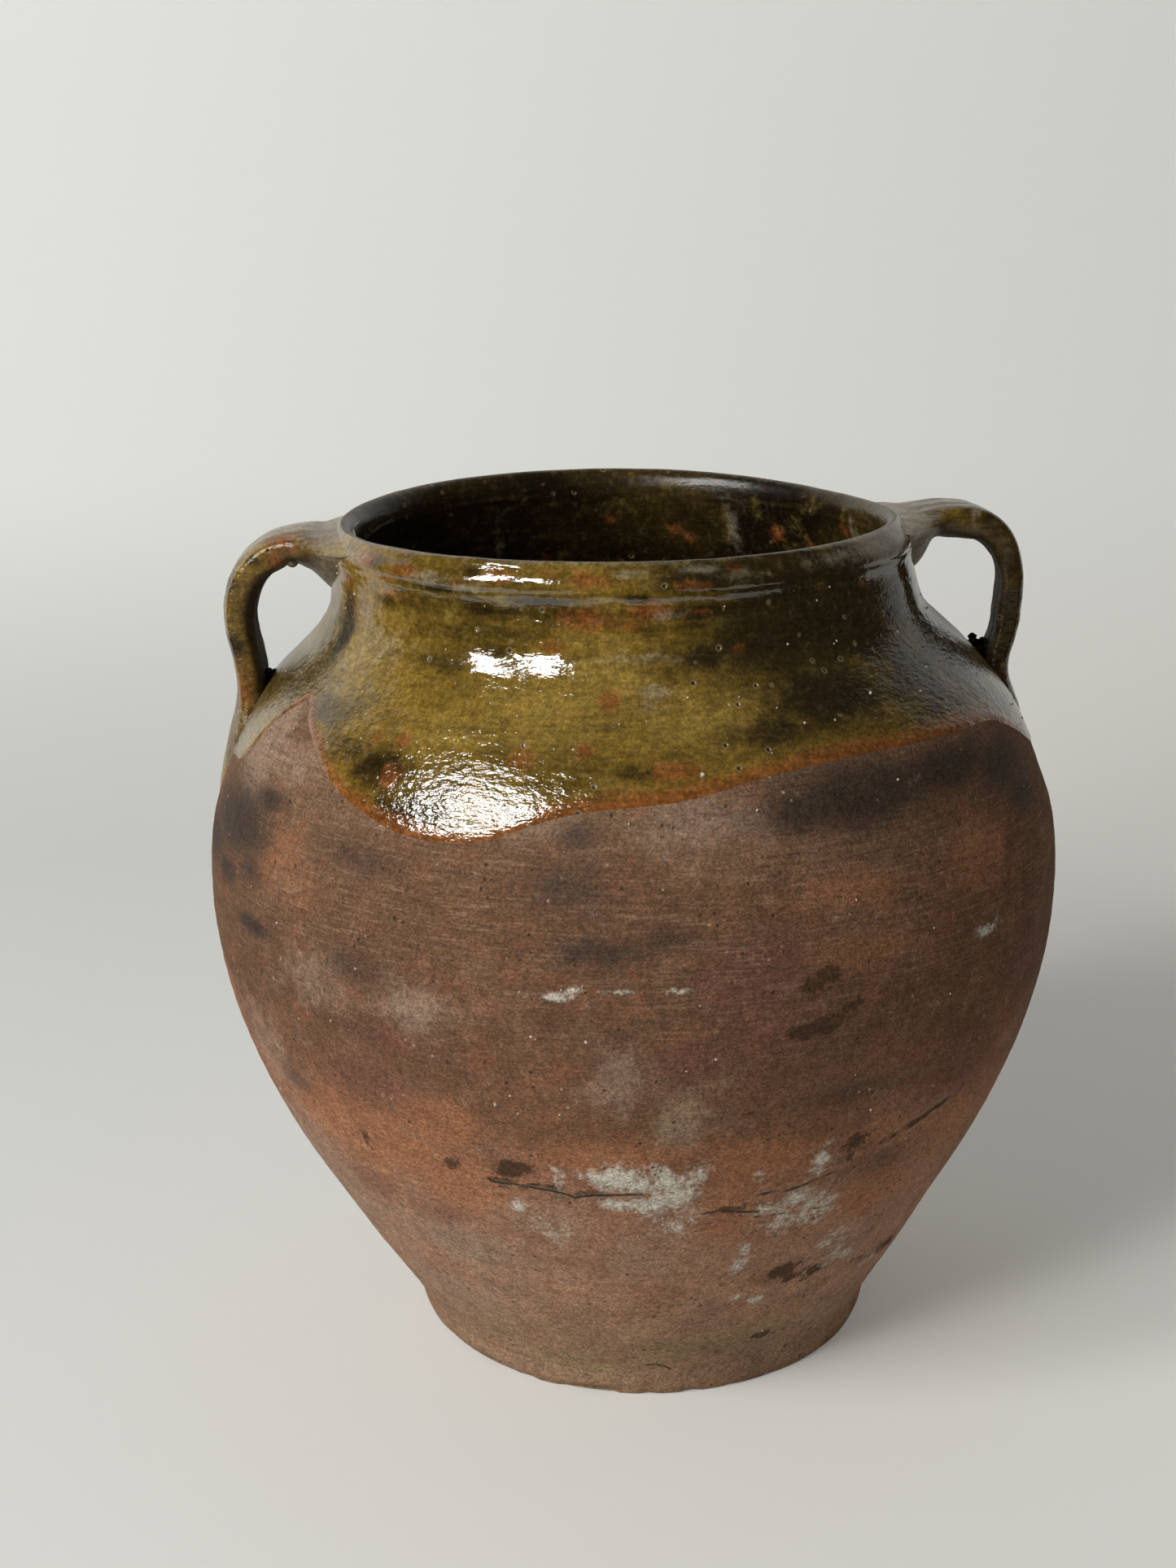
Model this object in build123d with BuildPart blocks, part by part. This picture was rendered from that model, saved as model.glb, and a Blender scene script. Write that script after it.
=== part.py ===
from build123d import *
import math
import os

# Two-handled olive jar, thrown on the wheel in earthenware and part glazed.
#
# The jar stands on its foot, with the origin at the centre of the foot and +Z up. Its handles lie
# along +X and -X, and the front of the jar faces -Y. Every size is in millimetres.
#
# The clay is built in the order that a potter works: a foot slab, a lower wall, an upper wall
# joined to it below the belly, and a folded rim roll. Each strap handle is pulled by itself and
# luted on, with a pad spread along the rim and a tail wiped down the shoulder. The glazes are
# thin coats on the clay.

os.makedirs("parts", exist_ok=True)

# Foot
foot_radius = 83.0
foot_height = 12.0
foot_flare = 3.0
foot_bevel = 1.5
floor_thickness = 11.0

# Belly and shoulder
belly_rise = 160.0
belly_radius = 151.5
join_rise = 86.0
shoulder_rise = 108.0
wall = 7.5

# Neck and rim
neck_swell = 2.0
collar_rise = 11.0
rim_radius = 101.0
rim_thickness = 9.0
rim_side = 4.5
fold_overhang = 1.4

# Strap handles
strap_width = 28.0
strap_thickness = 9.0
strap_edge = 3.6
strap_drop = 7.5
strap_climb = 2.6
strap_lean = 2.6
strap_bend = 24.0
strap_set_back = 3.0

# Luting pads on the rim
pad_reach = 8.0
pad_bite = 13.0
pad_width = 74.0
pad_depth = 15.0
pad_drop = 0.8

# Luting tails on the shoulder
tail_lift = 12.0
tail_rise = 2.0
tail_width = 33.0
tail_thickness = 9.0
tip_width = 15.0
tip_thickness = 4.0

# Glazes
glaze = 0.5
glaze_margin = 12.0

# Places between the rings: a share of the rise, then a share of the change in radius
lower_wall_shares = ((0.094, 0.132), (0.30, 0.42), (0.58, 0.776), (0.80, 0.945))
upper_wall_shares = ((0.24, 0.054), (0.463, 0.228), (0.66, 0.49), (0.778, 0.741), (0.88, 0.922))
strap_foot_share = (0.56, 0.335)
tail_middle_share = (0.50, 0.27)
tail_tip_share = (0.37, 0.145)
arch_run_share = 0.95

# The outer glaze's lower edge: degrees from the front towards the right handle, then a share of
# the shoulder's rise
glaze_edge_shares = (
    (-154, 0.41), (-130, 0.36), (-104, 0.45), (-86, 0.55), (-68, 0.71), (-51, 0.565), (-38, 0.475),
    (-27, 0.445), (-14, 0.54), (5, 0.59), (18, 0.64), (45, 0.632), (60, 0.60), (74, 0.48),
    (90, 0.41), (108, 0.37), (132, 0.46), (156, 0.58), (180, 0.52),
)

# One overrun for every trimming tool
overrun = belly_radius / 2

# Heights of the main rings, from the table up
belly_level = foot_height + belly_rise
join_level = foot_height + join_rise
neck_level = belly_level + shoulder_rise
fold_level = neck_level + collar_rise
spring_level = fold_level + rim_side
rim_top = spring_level + rim_thickness / 2

# Radii of the main rings
foot_top_radius = foot_radius + foot_flare
collar_radius = rim_radius - fold_overhang
neck_radius = collar_radius + neck_swell
mouth_radius = rim_radius - rim_thickness
rim_middle = rim_radius - rim_thickness / 2


def lower_place(share):
    """A place (radius, height) on the wall between the foot and the belly."""
    rise, spread = share
    return foot_top_radius + spread * (belly_radius - foot_top_radius), foot_height + rise * belly_rise


def upper_place(share):
    """A place (radius, height) on the wall between the belly and the neck."""
    rise, fall = share
    return belly_radius - fall * (belly_radius - neck_radius), belly_level + rise * shoulder_rise


def beside(places, distance):
    """Places at a distance to the left of the smooth line through some places."""
    line = Spline(*places)
    sideways = [line.tangent_at(Vector(*place)).rotate(Axis.Z, 90) * distance for place in places]
    return [(x + step.X, y + step.Y) for (x, y), step in zip(places, sideways)]


def rim_place(turn, thickness):
    """A place on the rim's round top, at a turn in degrees from straight up towards the outside."""
    reach = rim_thickness / 2 + thickness
    return (
        rim_middle + reach * math.sin(math.radians(turn)),
        spring_level + reach * math.cos(math.radians(turn)),
    )


def rim_quarter(side, thickness):
    """A quarter of the rim's round top: side 1 is the outer quarter, side -1 the mouth's."""
    return ThreePointArc(
        rim_place(0, thickness),
        rim_place(side * 45, thickness),
        rim_place(side * 90, thickness),
    )


# Outer line of the clay, from the top of the foot's edge to the fold under the rim
outer_places = (
    (foot_top_radius, foot_height),
    *[lower_place(share) for share in lower_wall_shares],
    (belly_radius, belly_level),
    *[upper_place(share) for share in upper_wall_shares],
    (neck_radius, neck_level),
    (collar_radius, fold_level),
)
outer_line = Spline(*outer_places)

# Inner line of the clay, one wall inside the outer line, which ends flush with the mouth
inner_places = (*beside(outer_places, wall)[:-1], (mouth_radius, fold_level))
inner_line = Spline(*inner_places)
cove_top = inner_line @ 0
cove_foot = (cove_top.X - wall - cove_top.Y + floor_thickness, floor_thickness)
cove = Spline((cove_top.X, cove_top.Y), cove_foot, tangents=(-(inner_line % 0), (-1, 0)))

# Section of all the clay, in the half plane of radius and height
with BuildSketch() as clay_section:
    with BuildLine():
        Polyline(
            (0, floor_thickness),
            (0, 0),
            (foot_radius - foot_bevel, 0),
            (foot_radius, foot_bevel),
            (foot_top_radius, foot_height),
        )
        add(outer_line)
        Polyline((collar_radius, fold_level), (rim_radius, fold_level), (rim_radius, spring_level))
        rim_quarter(1, 0)
        rim_quarter(-1, 0)
        Line((mouth_radius, spring_level), (mouth_radius, fold_level))
        add(inner_line)
        add(cove)
        Line(cove_foot, (0, floor_thickness))
    make_face()


def keep_between(low, high):
    """Trims the sketch in progress to the band between two heights."""
    width = belly_radius + overrun
    with Locations((width / 2, (low + high) / 2)):
        Rectangle(width, high - low, mode=Mode.INTERSECT)


with BuildPart() as foot_slab:
    with BuildSketch(Plane.YZ):
        add(clay_section.sketch)
        keep_between(0, floor_thickness)
    revolve(axis=Axis.Z)

with BuildPart() as lower_wall:
    with BuildSketch(Plane.YZ):
        add(clay_section.sketch)
        keep_between(floor_thickness, join_level)
    revolve(axis=Axis.Z)

with BuildPart() as upper_wall:
    with BuildSketch(Plane.YZ):
        add(clay_section.sketch)
        keep_between(join_level, fold_level)
    revolve(axis=Axis.Z)

with BuildPart() as rim_roll:
    with BuildSketch(Plane.YZ):
        add(clay_section.sketch)
        keep_between(fold_level, rim_top)
    revolve(axis=Axis.Z)

# The upper jar as if it were solid clay, which trims whatever is luted onto it
with BuildPart() as solid_jar:
    with BuildSketch(Plane.YZ):
        with BuildLine():
            Polyline(
                (foot_top_radius, foot_height),
                (0, foot_height),
                (0, rim_top),
                (rim_middle, rim_top),
            )
            rim_quarter(1, 0)
            Polyline((rim_radius, spring_level), (rim_radius, fold_level), (collar_radius, fold_level))
            add(outer_line)
        make_face()
        keep_between(belly_level, rim_top)
    revolve(axis=Axis.Z)

# Middle line of a strap, in its own upright plane: out from the rim, round the arch and down
arch_level = rim_top - strap_drop
strap_foot = upper_place(strap_foot_share)
strap_start = Vector(rim_radius + pad_reach, arch_level - strap_climb)
strap_corner = Vector(strap_foot[0] + strap_lean, arch_level)
strap_end = Vector(strap_foot[0], strap_foot[1] + tail_lift)
strap_places = (strap_start, strap_corner, strap_end)
start_heading = (strap_corner - strap_start).normalized()
end_heading = (strap_end - strap_corner).normalized()

# The arch takes up most of the run out from the rim, where the bend would be longer than that
half_turn = math.radians(start_heading.get_angle(end_heading)) / 2
longest_bend = arch_run_share * (strap_corner - strap_start).length / math.tan(half_turn)
arch_bend = min(strap_bend, longest_bend)

# Middle line of a tail, from the strap's end to its tip
tail_middle = Vector(*upper_place(tail_middle_share))
tail_tip = Vector(*upper_place(tail_tip_share))
tail_heading = (tail_tip - strap_end).normalized()
tip_heading = (tail_tip - tail_middle).normalized()
tail_crown = tail_middle + Vector(tail_rise, 0)


def across(upright, place, heading):
    """The plane across a handle at a place, facing along a heading, both in its upright plane."""
    here = upright.from_local_coords(place)
    ahead = upright.from_local_coords(place + heading)
    return Plane(origin=here, x_dir=upright.z_dir, z_dir=ahead - here)


def strap_section(grown):
    """The strap's rounded section, grown on every side."""
    return RectangleRounded(
        strap_width + 2 * grown,
        strap_thickness + 2 * grown,
        strap_edge + grown,
    )


def flat_section(width, thickness):
    """A rounded section as blunt as the strap's."""
    return RectangleRounded(width, thickness, thickness * strap_edge / strap_thickness)


def finish(piece, name):
    """Names a finished piece and writes it."""
    piece.label = name
    export_step(piece, f"parts/{name}.step")
    print(name, len(piece.solids()), round(piece.volume), piece.is_valid)


lutings = []
for name, side in (("left", -1), ("right", 1)):
    turn = math.radians(strap_set_back)
    outwards = Vector(side * math.cos(turn), math.sin(turn), 0)
    upright = Plane(origin=(0, 0, 0), x_dir=outwards, z_dir=outwards.cross(Vector(0, 0, 1)))

    with BuildPart() as handle:
        with BuildLine(upright) as strap_line:
            FilletPolyline(*[(place.X, place.Y) for place in strap_places], radius=arch_bend)
        with BuildSketch(across(upright, strap_start, start_heading)):
            strap_section(0)
        sweep(path=strap_line.line)
    finish(handle.part, name + "_handle")

    with BuildPart() as handle_glaze:
        with BuildSketch(across(upright, strap_start, start_heading)):
            strap_section(glaze)
            with BuildSketch(mode=Mode.SUBTRACT):
                strap_section(0)
        sweep(path=strap_line.line)
    finish(handle_glaze.part, name + "_handle_glaze")

    # The pad flares from the strap to the rim, where its ends run out along the rim roll
    pad_root = Vector(rim_radius - pad_bite, rim_top - pad_drop - pad_depth / 2)
    pad_middle = Vector(rim_radius, (strap_start.Y + pad_root.Y) / 2)
    with BuildPart() as rim_pad:
        with BuildSketch(across(upright, strap_start, start_heading)):
            strap_section(glaze)
        with BuildSketch(across(upright, pad_middle, start_heading)):
            flat_section((strap_width + pad_width) / 2 - pad_reach, (strap_thickness + pad_depth) / 2)
        with BuildSketch(across(upright, pad_root, Vector(1, 0))):
            flat_section(pad_width, pad_depth)
        loft()
        add(solid_jar.part, mode=Mode.SUBTRACT)
    finish(rim_pad.part, name + "_rim_pad")

    # The tail spreads a little where it meets the shoulder, then thins out to its tip
    with BuildPart() as shoulder_tail:
        with BuildSketch(across(upright, strap_end, end_heading)):
            strap_section(glaze)
        with BuildSketch(across(upright, tail_crown, tail_heading)):
            flat_section(tail_width, tail_thickness)
        with BuildSketch(across(upright, tail_tip, tip_heading)):
            flat_section(tip_width, tip_thickness)
        loft()
        add(solid_jar.part, mode=Mode.SUBTRACT)
    finish(shoulder_tail.part, name + "_shoulder_tail")
    lutings += [rim_pad.part, shoulder_tail.part]

# The outer glaze covers the rim, neck and shoulder, down to a line of poured lobes
coat_line = Spline(*beside(outer_places, -glaze)[:-1], (collar_radius + glaze, fold_level - glaze))
lowest_share = min(share for angle, share in glaze_edge_shares)
glaze_bottom = belly_level + lowest_share * shoulder_rise - glaze_margin


def glaze_edge(radius):
    """The glaze's wavy lower edge as a closed line, at a radius from the axis."""
    front = Vector(0, -radius, belly_level)
    places = [
        front.rotate(Axis.Z, angle) + Vector(0, 0, share * shoulder_rise)
        for angle, share in glaze_edge_shares
    ]
    return Edge.make_spline(places, periodic=True)


poured_over = Solid.extrude(
    Face.make_surface_from_curves(glaze_edge(neck_radius / 2), glaze_edge(belly_radius + overrun)),
    Vector(0, 0, shoulder_rise + overrun),
)

with BuildPart() as outer_glaze:
    with BuildSketch(Plane.YZ):
        with BuildLine():
            add(outer_line)
            Polyline((collar_radius, fold_level), (rim_radius, fold_level), (rim_radius, spring_level))
            rim_quarter(1, 0)
            Line(rim_place(0, 0), rim_place(0, glaze))
            rim_quarter(1, glaze)
            Polyline(
                (rim_radius + glaze, spring_level),
                (rim_radius + glaze, fold_level - glaze),
                (collar_radius + glaze, fold_level - glaze),
            )
            add(coat_line)
            Line(coat_line @ 0, outer_line @ 0)
        make_face()
        keep_between(glaze_bottom, rim_top + glaze)
    revolve(axis=Axis.Z)
    add(poured_over, mode=Mode.INTERSECT)
    for luting in lutings:
        add(luting, mode=Mode.SUBTRACT)

# The inner glaze lines the whole inside, from the floor to the middle of the rim
lining_line = Spline(*beside(inner_places, glaze)[:-1], (mouth_radius - glaze, fold_level))
lining_foot = (cove_foot[0], floor_thickness + glaze)
with BuildPart() as inner_glaze:
    with BuildSketch(Plane.YZ):
        with BuildLine():
            Polyline((0, floor_thickness + glaze), (0, floor_thickness), cove_foot)
            add(cove)
            add(inner_line)
            Line((mouth_radius, fold_level), (mouth_radius, spring_level))
            rim_quarter(-1, 0)
            Line(rim_place(0, 0), rim_place(0, glaze))
            rim_quarter(-1, glaze)
            Line((mouth_radius - glaze, spring_level), (mouth_radius - glaze, fold_level))
            add(lining_line)
            Spline(lining_line @ 0, lining_foot, tangents=(-(lining_line % 0), (-1, 0)))
            Line(lining_foot, (0, floor_thickness + glaze))
        make_face()
    revolve(axis=Axis.Z)

finish(foot_slab.part, "foot_slab")
finish(lower_wall.part, "lower_wall")
finish(upper_wall.part, "upper_wall")
finish(rim_roll.part, "rim_roll")
finish(outer_glaze.part, "outer_glaze")
finish(inner_glaze.part, "inner_glaze")
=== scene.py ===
import math

import bpy
import numpy as np
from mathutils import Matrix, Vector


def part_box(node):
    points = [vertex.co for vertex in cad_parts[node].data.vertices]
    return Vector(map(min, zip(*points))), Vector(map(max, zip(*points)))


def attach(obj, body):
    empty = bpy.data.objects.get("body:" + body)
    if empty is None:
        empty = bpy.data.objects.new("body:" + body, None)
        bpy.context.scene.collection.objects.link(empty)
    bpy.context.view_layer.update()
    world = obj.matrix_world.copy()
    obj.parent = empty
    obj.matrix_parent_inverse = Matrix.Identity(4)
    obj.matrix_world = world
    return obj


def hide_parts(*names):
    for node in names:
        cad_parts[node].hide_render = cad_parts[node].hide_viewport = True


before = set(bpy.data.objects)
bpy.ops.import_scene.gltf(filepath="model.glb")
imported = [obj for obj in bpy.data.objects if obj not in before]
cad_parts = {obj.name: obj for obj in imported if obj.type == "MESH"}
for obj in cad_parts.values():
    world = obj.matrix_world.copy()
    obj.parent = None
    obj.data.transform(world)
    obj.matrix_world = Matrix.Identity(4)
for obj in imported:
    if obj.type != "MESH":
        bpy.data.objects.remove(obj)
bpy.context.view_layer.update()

# Two-handled olive jar of red earthenware, glazed inside and over the shoulder.
#
# The frame's +Z is up and its -Y side is the front. In this script a turn is an angle in degrees
# round the jar, 0 on the side that faces the camera and growing towards the right handle, and a
# level is a height as a share of the jar's height.

mm = 0.001

# The camera stands this far round from the jar's front, a little to the left
camera_turn = -5.0

# Sizes that come from the frame
jar_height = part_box("rim_roll")[1].z
fold_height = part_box("rim_roll")[0].z
join_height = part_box("lower_wall")[1].z
slab_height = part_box("foot_slab")[1].z
belly_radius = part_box("upper_wall")[1].x

# How far the hand-thrown jar leans: the foot and the shoulder towards the right, the neck towards
# the left
foot_lean = 3.4 * mm
foot_lean_height = 110 * mm
shoulder_lean = 0.8 * mm
shoulder_height = 254 * mm
shoulder_lean_reach = 9 * mm
neck_lean = 4.4 * mm
neck_lean_height = 235 * mm

# How far the rim sags: the turn of each dip, its half width in degrees and its depth
rim_dips = ((180, 100, 0.9 * mm), (-85, 42, 2.4 * mm), (118, 36, 2.9 * mm))

# The coats stand out of the clay by their thickness, and their backs lie behind its surface
glaze_thickness = 0.42 * mm
glaze_root = 0.3 * mm

# How far the rim's roll reaches down inside from its crest, and how far apart the throwing rings are
mouth_depth = 14 * mm
ring_pitch = 6.5 * mm

# Points round the jar, and the angle between two faces past which their edge shows as sharp
columns_round = 480
sharp_angle = 50


def cubic(knots, values, at):
    """Natural cubic spline through values at knots: the bends at the knots solve the equations
    that make the slopes agree, and each span is the cubic of its end values and bends."""
    gaps = np.diff(knots)
    slopes = np.diff(values) / gaps
    matrix = np.diag(np.r_[1.0, 2 * (gaps[:-1] + gaps[1:]), 1.0])
    matrix += np.diag(np.r_[0.0, gaps[1:]], 1) + np.diag(np.r_[gaps[:-1], 0.0], -1)
    bends = np.linalg.solve(matrix, np.r_[0.0, 6 * np.diff(slopes), 0.0])
    span = np.clip(np.searchsorted(knots, at, side="right") - 1, 0, len(gaps) - 1)
    ahead, behind, gap = knots[span + 1] - at, at - knots[span], gaps[span]
    return (
        (bends[span] * ahead**3 + bends[span + 1] * behind**3) / (6 * gap)
        + (values[span] / gap - bends[span] * gap / 6) * ahead
        + (values[span + 1] / gap - bends[span + 1] * gap / 6) * behind
    )


def run_of(stations):
    """Length run along a row of stations, from chord to chord."""
    return np.r_[0.0, np.cumsum(np.linalg.norm(np.diff(stations, axis=0), axis=1))]


def turn_from(middle, turn):
    """Degrees from a middle to a turn, the short way round."""
    return (turn - middle + 180) % 360 - 180


def ease(value):
    """The smooth step from 0 to 1: three squares less two cubes of the value."""
    value = np.clip(value, 0, 1)
    return value * value * (3 - 2 * value)


def bell(away):
    """The bell curve, 1 in the middle: the exponential of minus the square of the distance."""
    return np.exp(-(away**2))


# The jar's line in millimetres of radius and height, as it shows: up the outside from the foot,
# over the rim and down the inside to the middle of the floor
outside = (
    (83.0, 0), (84.6, 6), (85.8, 11), (89.1, 18), (94.5, 27), (103.5, 42), (113.5, 60), (130.1, 90),
    (142.4, 120), (149.7, 150), (151.5, 174), (148.8, 198), (142.9, 215), (134.9, 233), (122.6, 248),
    (110.6, 260), (103.8, 270), (101.4, 281), (100.6, 288.0), (100.9, 289.6), (101.2, 291.4),
    (101.1, 293.3), (100.5, 295.2), (99.2, 297.0), (97.9, 298.7), (96.4, 300),
)
inside = (
    (94.2, 299.3), (92.8, 297.4), (92.1, 294.6), (92.1, 290), (93.7, 280), (95.9, 270),
    (100.6, 260), (109.6, 250), (123.6, 235), (132.4, 220), (140.2, 200), (143.7, 172),
    (139.9, 140), (134.3, 120), (126.1, 100), (115.8, 80), (104.5, 60), (93.1, 40), (81.6, 20.5),
    (74.5, 13.6), (62, 11.9), (40, 11.6), (0, 11.5),
)
line_stations = np.array(outside + inside) * mm
station_run = run_of(line_stations)
line_run = np.linspace(0, station_run[-1], 6001)
line_radius = cubic(station_run, line_stations[:, 0], line_run)
line_height = cubic(station_run, line_stations[:, 1], line_run)
line_slope = np.stack([np.gradient(line_radius, line_run), np.gradient(line_height, line_run)])
line_slope /= np.linalg.norm(line_slope, axis=0)
crest_run = station_run[len(outside) - 1]
rising = line_run <= crest_run
falling = line_run >= crest_run


def up_run(height):
    """Length run along the line where it passes a height on the outside."""
    return np.interp(height, line_height[rising], line_run[rising])


def down_run(height):
    """Length run along the line where it passes a height on the inside."""
    return np.interp(-np.asarray(height), -line_height[falling], line_run[falling])


def radius_at(run):
    """Radius of the jar's line at a length along it."""
    return np.interp(run, line_run, line_radius)


def height_at(run):
    """Height of the jar's line at a length along it."""
    return np.interp(run, line_run, line_height)


def grain(turn, along, cells, pitch, seed):
    """Smooth noise between -1 and 1: random values on a lattice that closes after so many cells
    round the jar and steps by a pitch the other way, blended with smooth steps."""
    rows, first_row = 512, 64
    values = np.random.default_rng(seed).uniform(-1, 1, (rows, cells))
    across = (np.asarray(turn) / 360 % 1) * cells
    up = np.asarray(along) / pitch + first_row
    column, row = np.floor(across).astype(int), np.floor(up).astype(int)
    share_across, share_up = ease(across - column), ease(up - row)
    column, right, row, above = column % cells, (column + 1) % cells, row % rows, (row + 1) % rows
    low = values[row, column] * (1 - share_across) + values[row, right] * share_across
    high = values[above, column] * (1 - share_across) + values[above, right] * share_across
    return low * (1 - share_up) + high * share_up


def lean(height):
    """Sideways offset of the axis at a height: a power of the distance past each lean's start, and
    a bell round the shoulder."""
    low = np.clip(1 - height / foot_lean_height, 0, 1) ** 1.5
    high = np.clip((height - neck_lean_height) / (jar_height - neck_lean_height), 0, 1) ** 1.5
    middle = bell((height - shoulder_height) / shoulder_lean_reach)
    return foot_lean * low + shoulder_lean * middle - neck_lean * high


def sag(turn):
    """How far the rim hangs down at a turn: a bell for each dip."""
    drop = 0
    for middle, wide, depth in rim_dips:
        drop = drop + depth * bell(turn_from(middle, turn) / wide)
    return drop


def place(turn, radius, height):
    """Points at a turn, a radius and a height, carried along with the lean and the sag."""
    angle = np.radians(turn + camera_turn)
    aside = math.radians(camera_turn)
    drop = sag(turn) * ease((height - shoulder_height) / (jar_height - shoulder_height))
    x = radius * np.sin(angle) + lean(height) * math.cos(aside)
    y = -radius * np.cos(angle) + lean(height) * math.sin(aside)
    return np.stack([x, y, height - drop], axis=-1)


# Marks that the potter's tools and knocks left: turn, level, half width in degrees, half height as
# a share of the jar's, and how many millimetres they stand out
tool_marks = (
    (-27, 0.17, 1, 0.034, 0.5), (-31, 0.227, 1.2, 0.006, -0.5), (-24, 0.233, 1.3, 0.005, -0.45),
    (-33, 0.103, 3.5, 0.004, -0.5), (-12, 0.196, 5, 0.004, -0.25), (5, 0.275, 6, 0.004, -0.22),
    (20, 0.13, 7, 0.005, 0.3), (-48, 0.25, 5, 0.005, -0.3), (38, 0.3, 4, 0.005, -0.3),
    (40, 0.394, 7, 0.003, -0.45), (-35, 0.9, 7, 0.003, -0.3), (-14, 0.56, 4, 0.02, -0.35),
    (30, 0.52, 5, 0.025, -0.35), (150, 0.48, 5, 0.022, -0.4), (-140, 0.3, 2, 0.03, 0.45),
    (120, 0.21, 4, 0.005, -0.4), (190, 0.6, 6, 0.018, -0.35), (-110, 0.36, 1.3, 0.03, -0.35),
    (96, 0.86, 24, 0.024, 0.9), (-92, 0.852, 22, 0.045, -0.7),
)


def swelling(turn, height):
    """How far the hand-thrown wall stands out, a sum of millimetres: slow waves round the jar,
    throwing rings that climb a little as they go round, soft dents, tool marks as bells round
    their middles, nicks in the rim, and the uneven groove under the fold. The waves, rings and
    dents are calmer at the foot and at the rim."""
    calm_foot, calm_rim, calm_rim_reach = 30 * mm, 270 * mm, 20 * mm
    high = ease(height / calm_foot) * (1 - 0.5 * ease((height - calm_rim) / calm_rim_reach))
    waves = 0.35 * np.sin(np.radians(2 * turn + 40)) + 0.25 * np.sin(np.radians(3 * turn - 70))
    climb = height / ring_pitch + turn / 360
    rings = np.sin(2 * np.pi * climb + 2 * grain(turn, height, 7, 0.03, 1))
    rings = rings * (0.5 + 0.5 * grain(turn, height, 5, 0.045, 2))
    dents = 0.34 * grain(turn, height, 14, 0.034, 3) + 0.12 * grain(turn, height, 40, 0.011, 4)
    brush = 0.06 * grain(turn, height, 24, 0.0021, 5)
    tooled = 0
    for middle, level, wide, tall, depth in tool_marks:
        across = turn_from(middle, turn) / wide
        tooled = tooled + depth * np.exp(-(across**2) - ((height / jar_height - level) / tall) ** 2)
    groove_reach, nick_reach = 0.8 * mm, 6 * mm
    ragged_fold = fold_height + 0.8 * mm * grain(turn, 0, 22, 1, 6)
    groove_depth = 0.35 + 0.35 * grain(turn, 0, 17, 1, 7)
    groove = bell((height - ragged_fold) / groove_reach) * groove_depth
    nicks = 0.22 * grain(turn, height, 44, 0.004, 8) * ease((height - fold_height) / nick_reach)
    return ((waves + 0.07 * rings + dents + brush) * (0.35 + 0.65 * high) + tooled + nicks - groove) * mm


def skin(turn, run, out):
    """Points on the jar's line, swollen by the thrower's hand and moved out along its normal. The
    swelling is less inside and none in the middle of the floor."""
    calm_floor = 60 * mm
    radius, height = radius_at(run), height_at(run)
    slope = [np.interp(run, line_run, part) for part in line_slope]
    inner = ease((run - crest_run) / mouth_depth)
    shown = swelling(turn, height) * (1 - 0.45 * inner) * ease(radius / calm_floor)
    return place(turn, radius + (out * slope[1]) + shown, height - out * slope[0])


# Meshes

turns = np.linspace(-180, 180, columns_round, endpoint=False)


def shell(grid, closed_rows, capped):
    """Corners and faces over a grid of points, with any marks behind their three coordinates. The
    columns close up, and the rows close too or run to a single corner at a capped end, which is
    the mean of that end's row."""
    rows, columns = grid.shape[:2]
    index = np.arange(rows * columns).reshape(rows, columns)
    index = np.concatenate([index, index[:, :1]], axis=1)
    if closed_rows:
        index = np.concatenate([index, index[:1]], axis=0)
    quads = np.stack([index[:-1, :-1], index[:-1, 1:], index[1:, 1:], index[1:, :-1]], axis=-1)
    faces = quads.reshape(-1, 4).tolist()
    corners = grid.reshape(rows * columns, -1)
    for end, row in enumerate((0, rows - 1)):
        if capped[end]:
            middle = np.full(columns, len(corners))
            corners = np.vstack([corners, grid[row].mean(axis=0)])
            fan = np.stack([index[row, 1:], index[row, :-1], middle], axis=-1)
            faces += (fan if end == 0 else fan[:, ::-1]).tolist()
    return corners, faces


def put_in_scene(name, data):
    """A new object of a mesh, a lamp or a camera, in the scene."""
    thing = bpy.data.objects.new(name, data)
    bpy.context.scene.collection.objects.link(thing)
    return thing


def net(name, points, closed_rows=False, capped=(False, False), marks=None):
    """A piece over a grid of points, or over several grids that don't touch, with marks as
    attributes of its corners."""
    marks = marks or {}
    grids = points if points.ndim == 4 else points[None]
    layers = [np.broadcast_to(value, grids.shape[:3])[..., None] for value in marks.values()]
    grids = np.concatenate([grids, *layers], axis=-1)
    corners, faces = [], []
    for grid in grids:
        first = sum(map(len, corners))
        more_corners, more_faces = shell(grid, closed_rows, capped)
        corners.append(more_corners)
        faces += [[first + corner for corner in face] for face in more_faces] if first else more_faces
    corners = np.concatenate(corners)
    mesh = bpy.data.meshes.new(name)
    mesh.from_pydata(corners[:, :3].tolist(), [], faces)
    for column, key in enumerate(marks):
        layer = mesh.attributes.new(key, "FLOAT", "POINT")
        layer.data.foreach_set("value", np.ascontiguousarray(corners[:, 3 + column], dtype=np.float32))
    mesh.update()
    if signed_volume(mesh) < 0:
        mesh.flip_normals()
    mesh.polygons.foreach_set("use_smooth", np.ones(len(mesh.polygons), dtype=bool))
    mesh.set_sharp_from_angle(angle=math.radians(sharp_angle))
    return put_in_scene(name, mesh)


def signed_volume(mesh):
    """Volume inside a closed mesh, below zero where its faces point inwards: the sum over the
    faces of a third of the centre's height over the origin, times the area."""
    count = len(mesh.polygons)
    centres, normals, areas = np.empty(3 * count), np.empty(3 * count), np.empty(count)
    mesh.polygons.foreach_get("center", centres)
    mesh.polygons.foreach_get("normal", normals)
    mesh.polygons.foreach_get("area", areas)
    return (np.sum(centres.reshape(-1, 3) * normals.reshape(-1, 3), axis=1) * areas).sum() / 3


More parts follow.
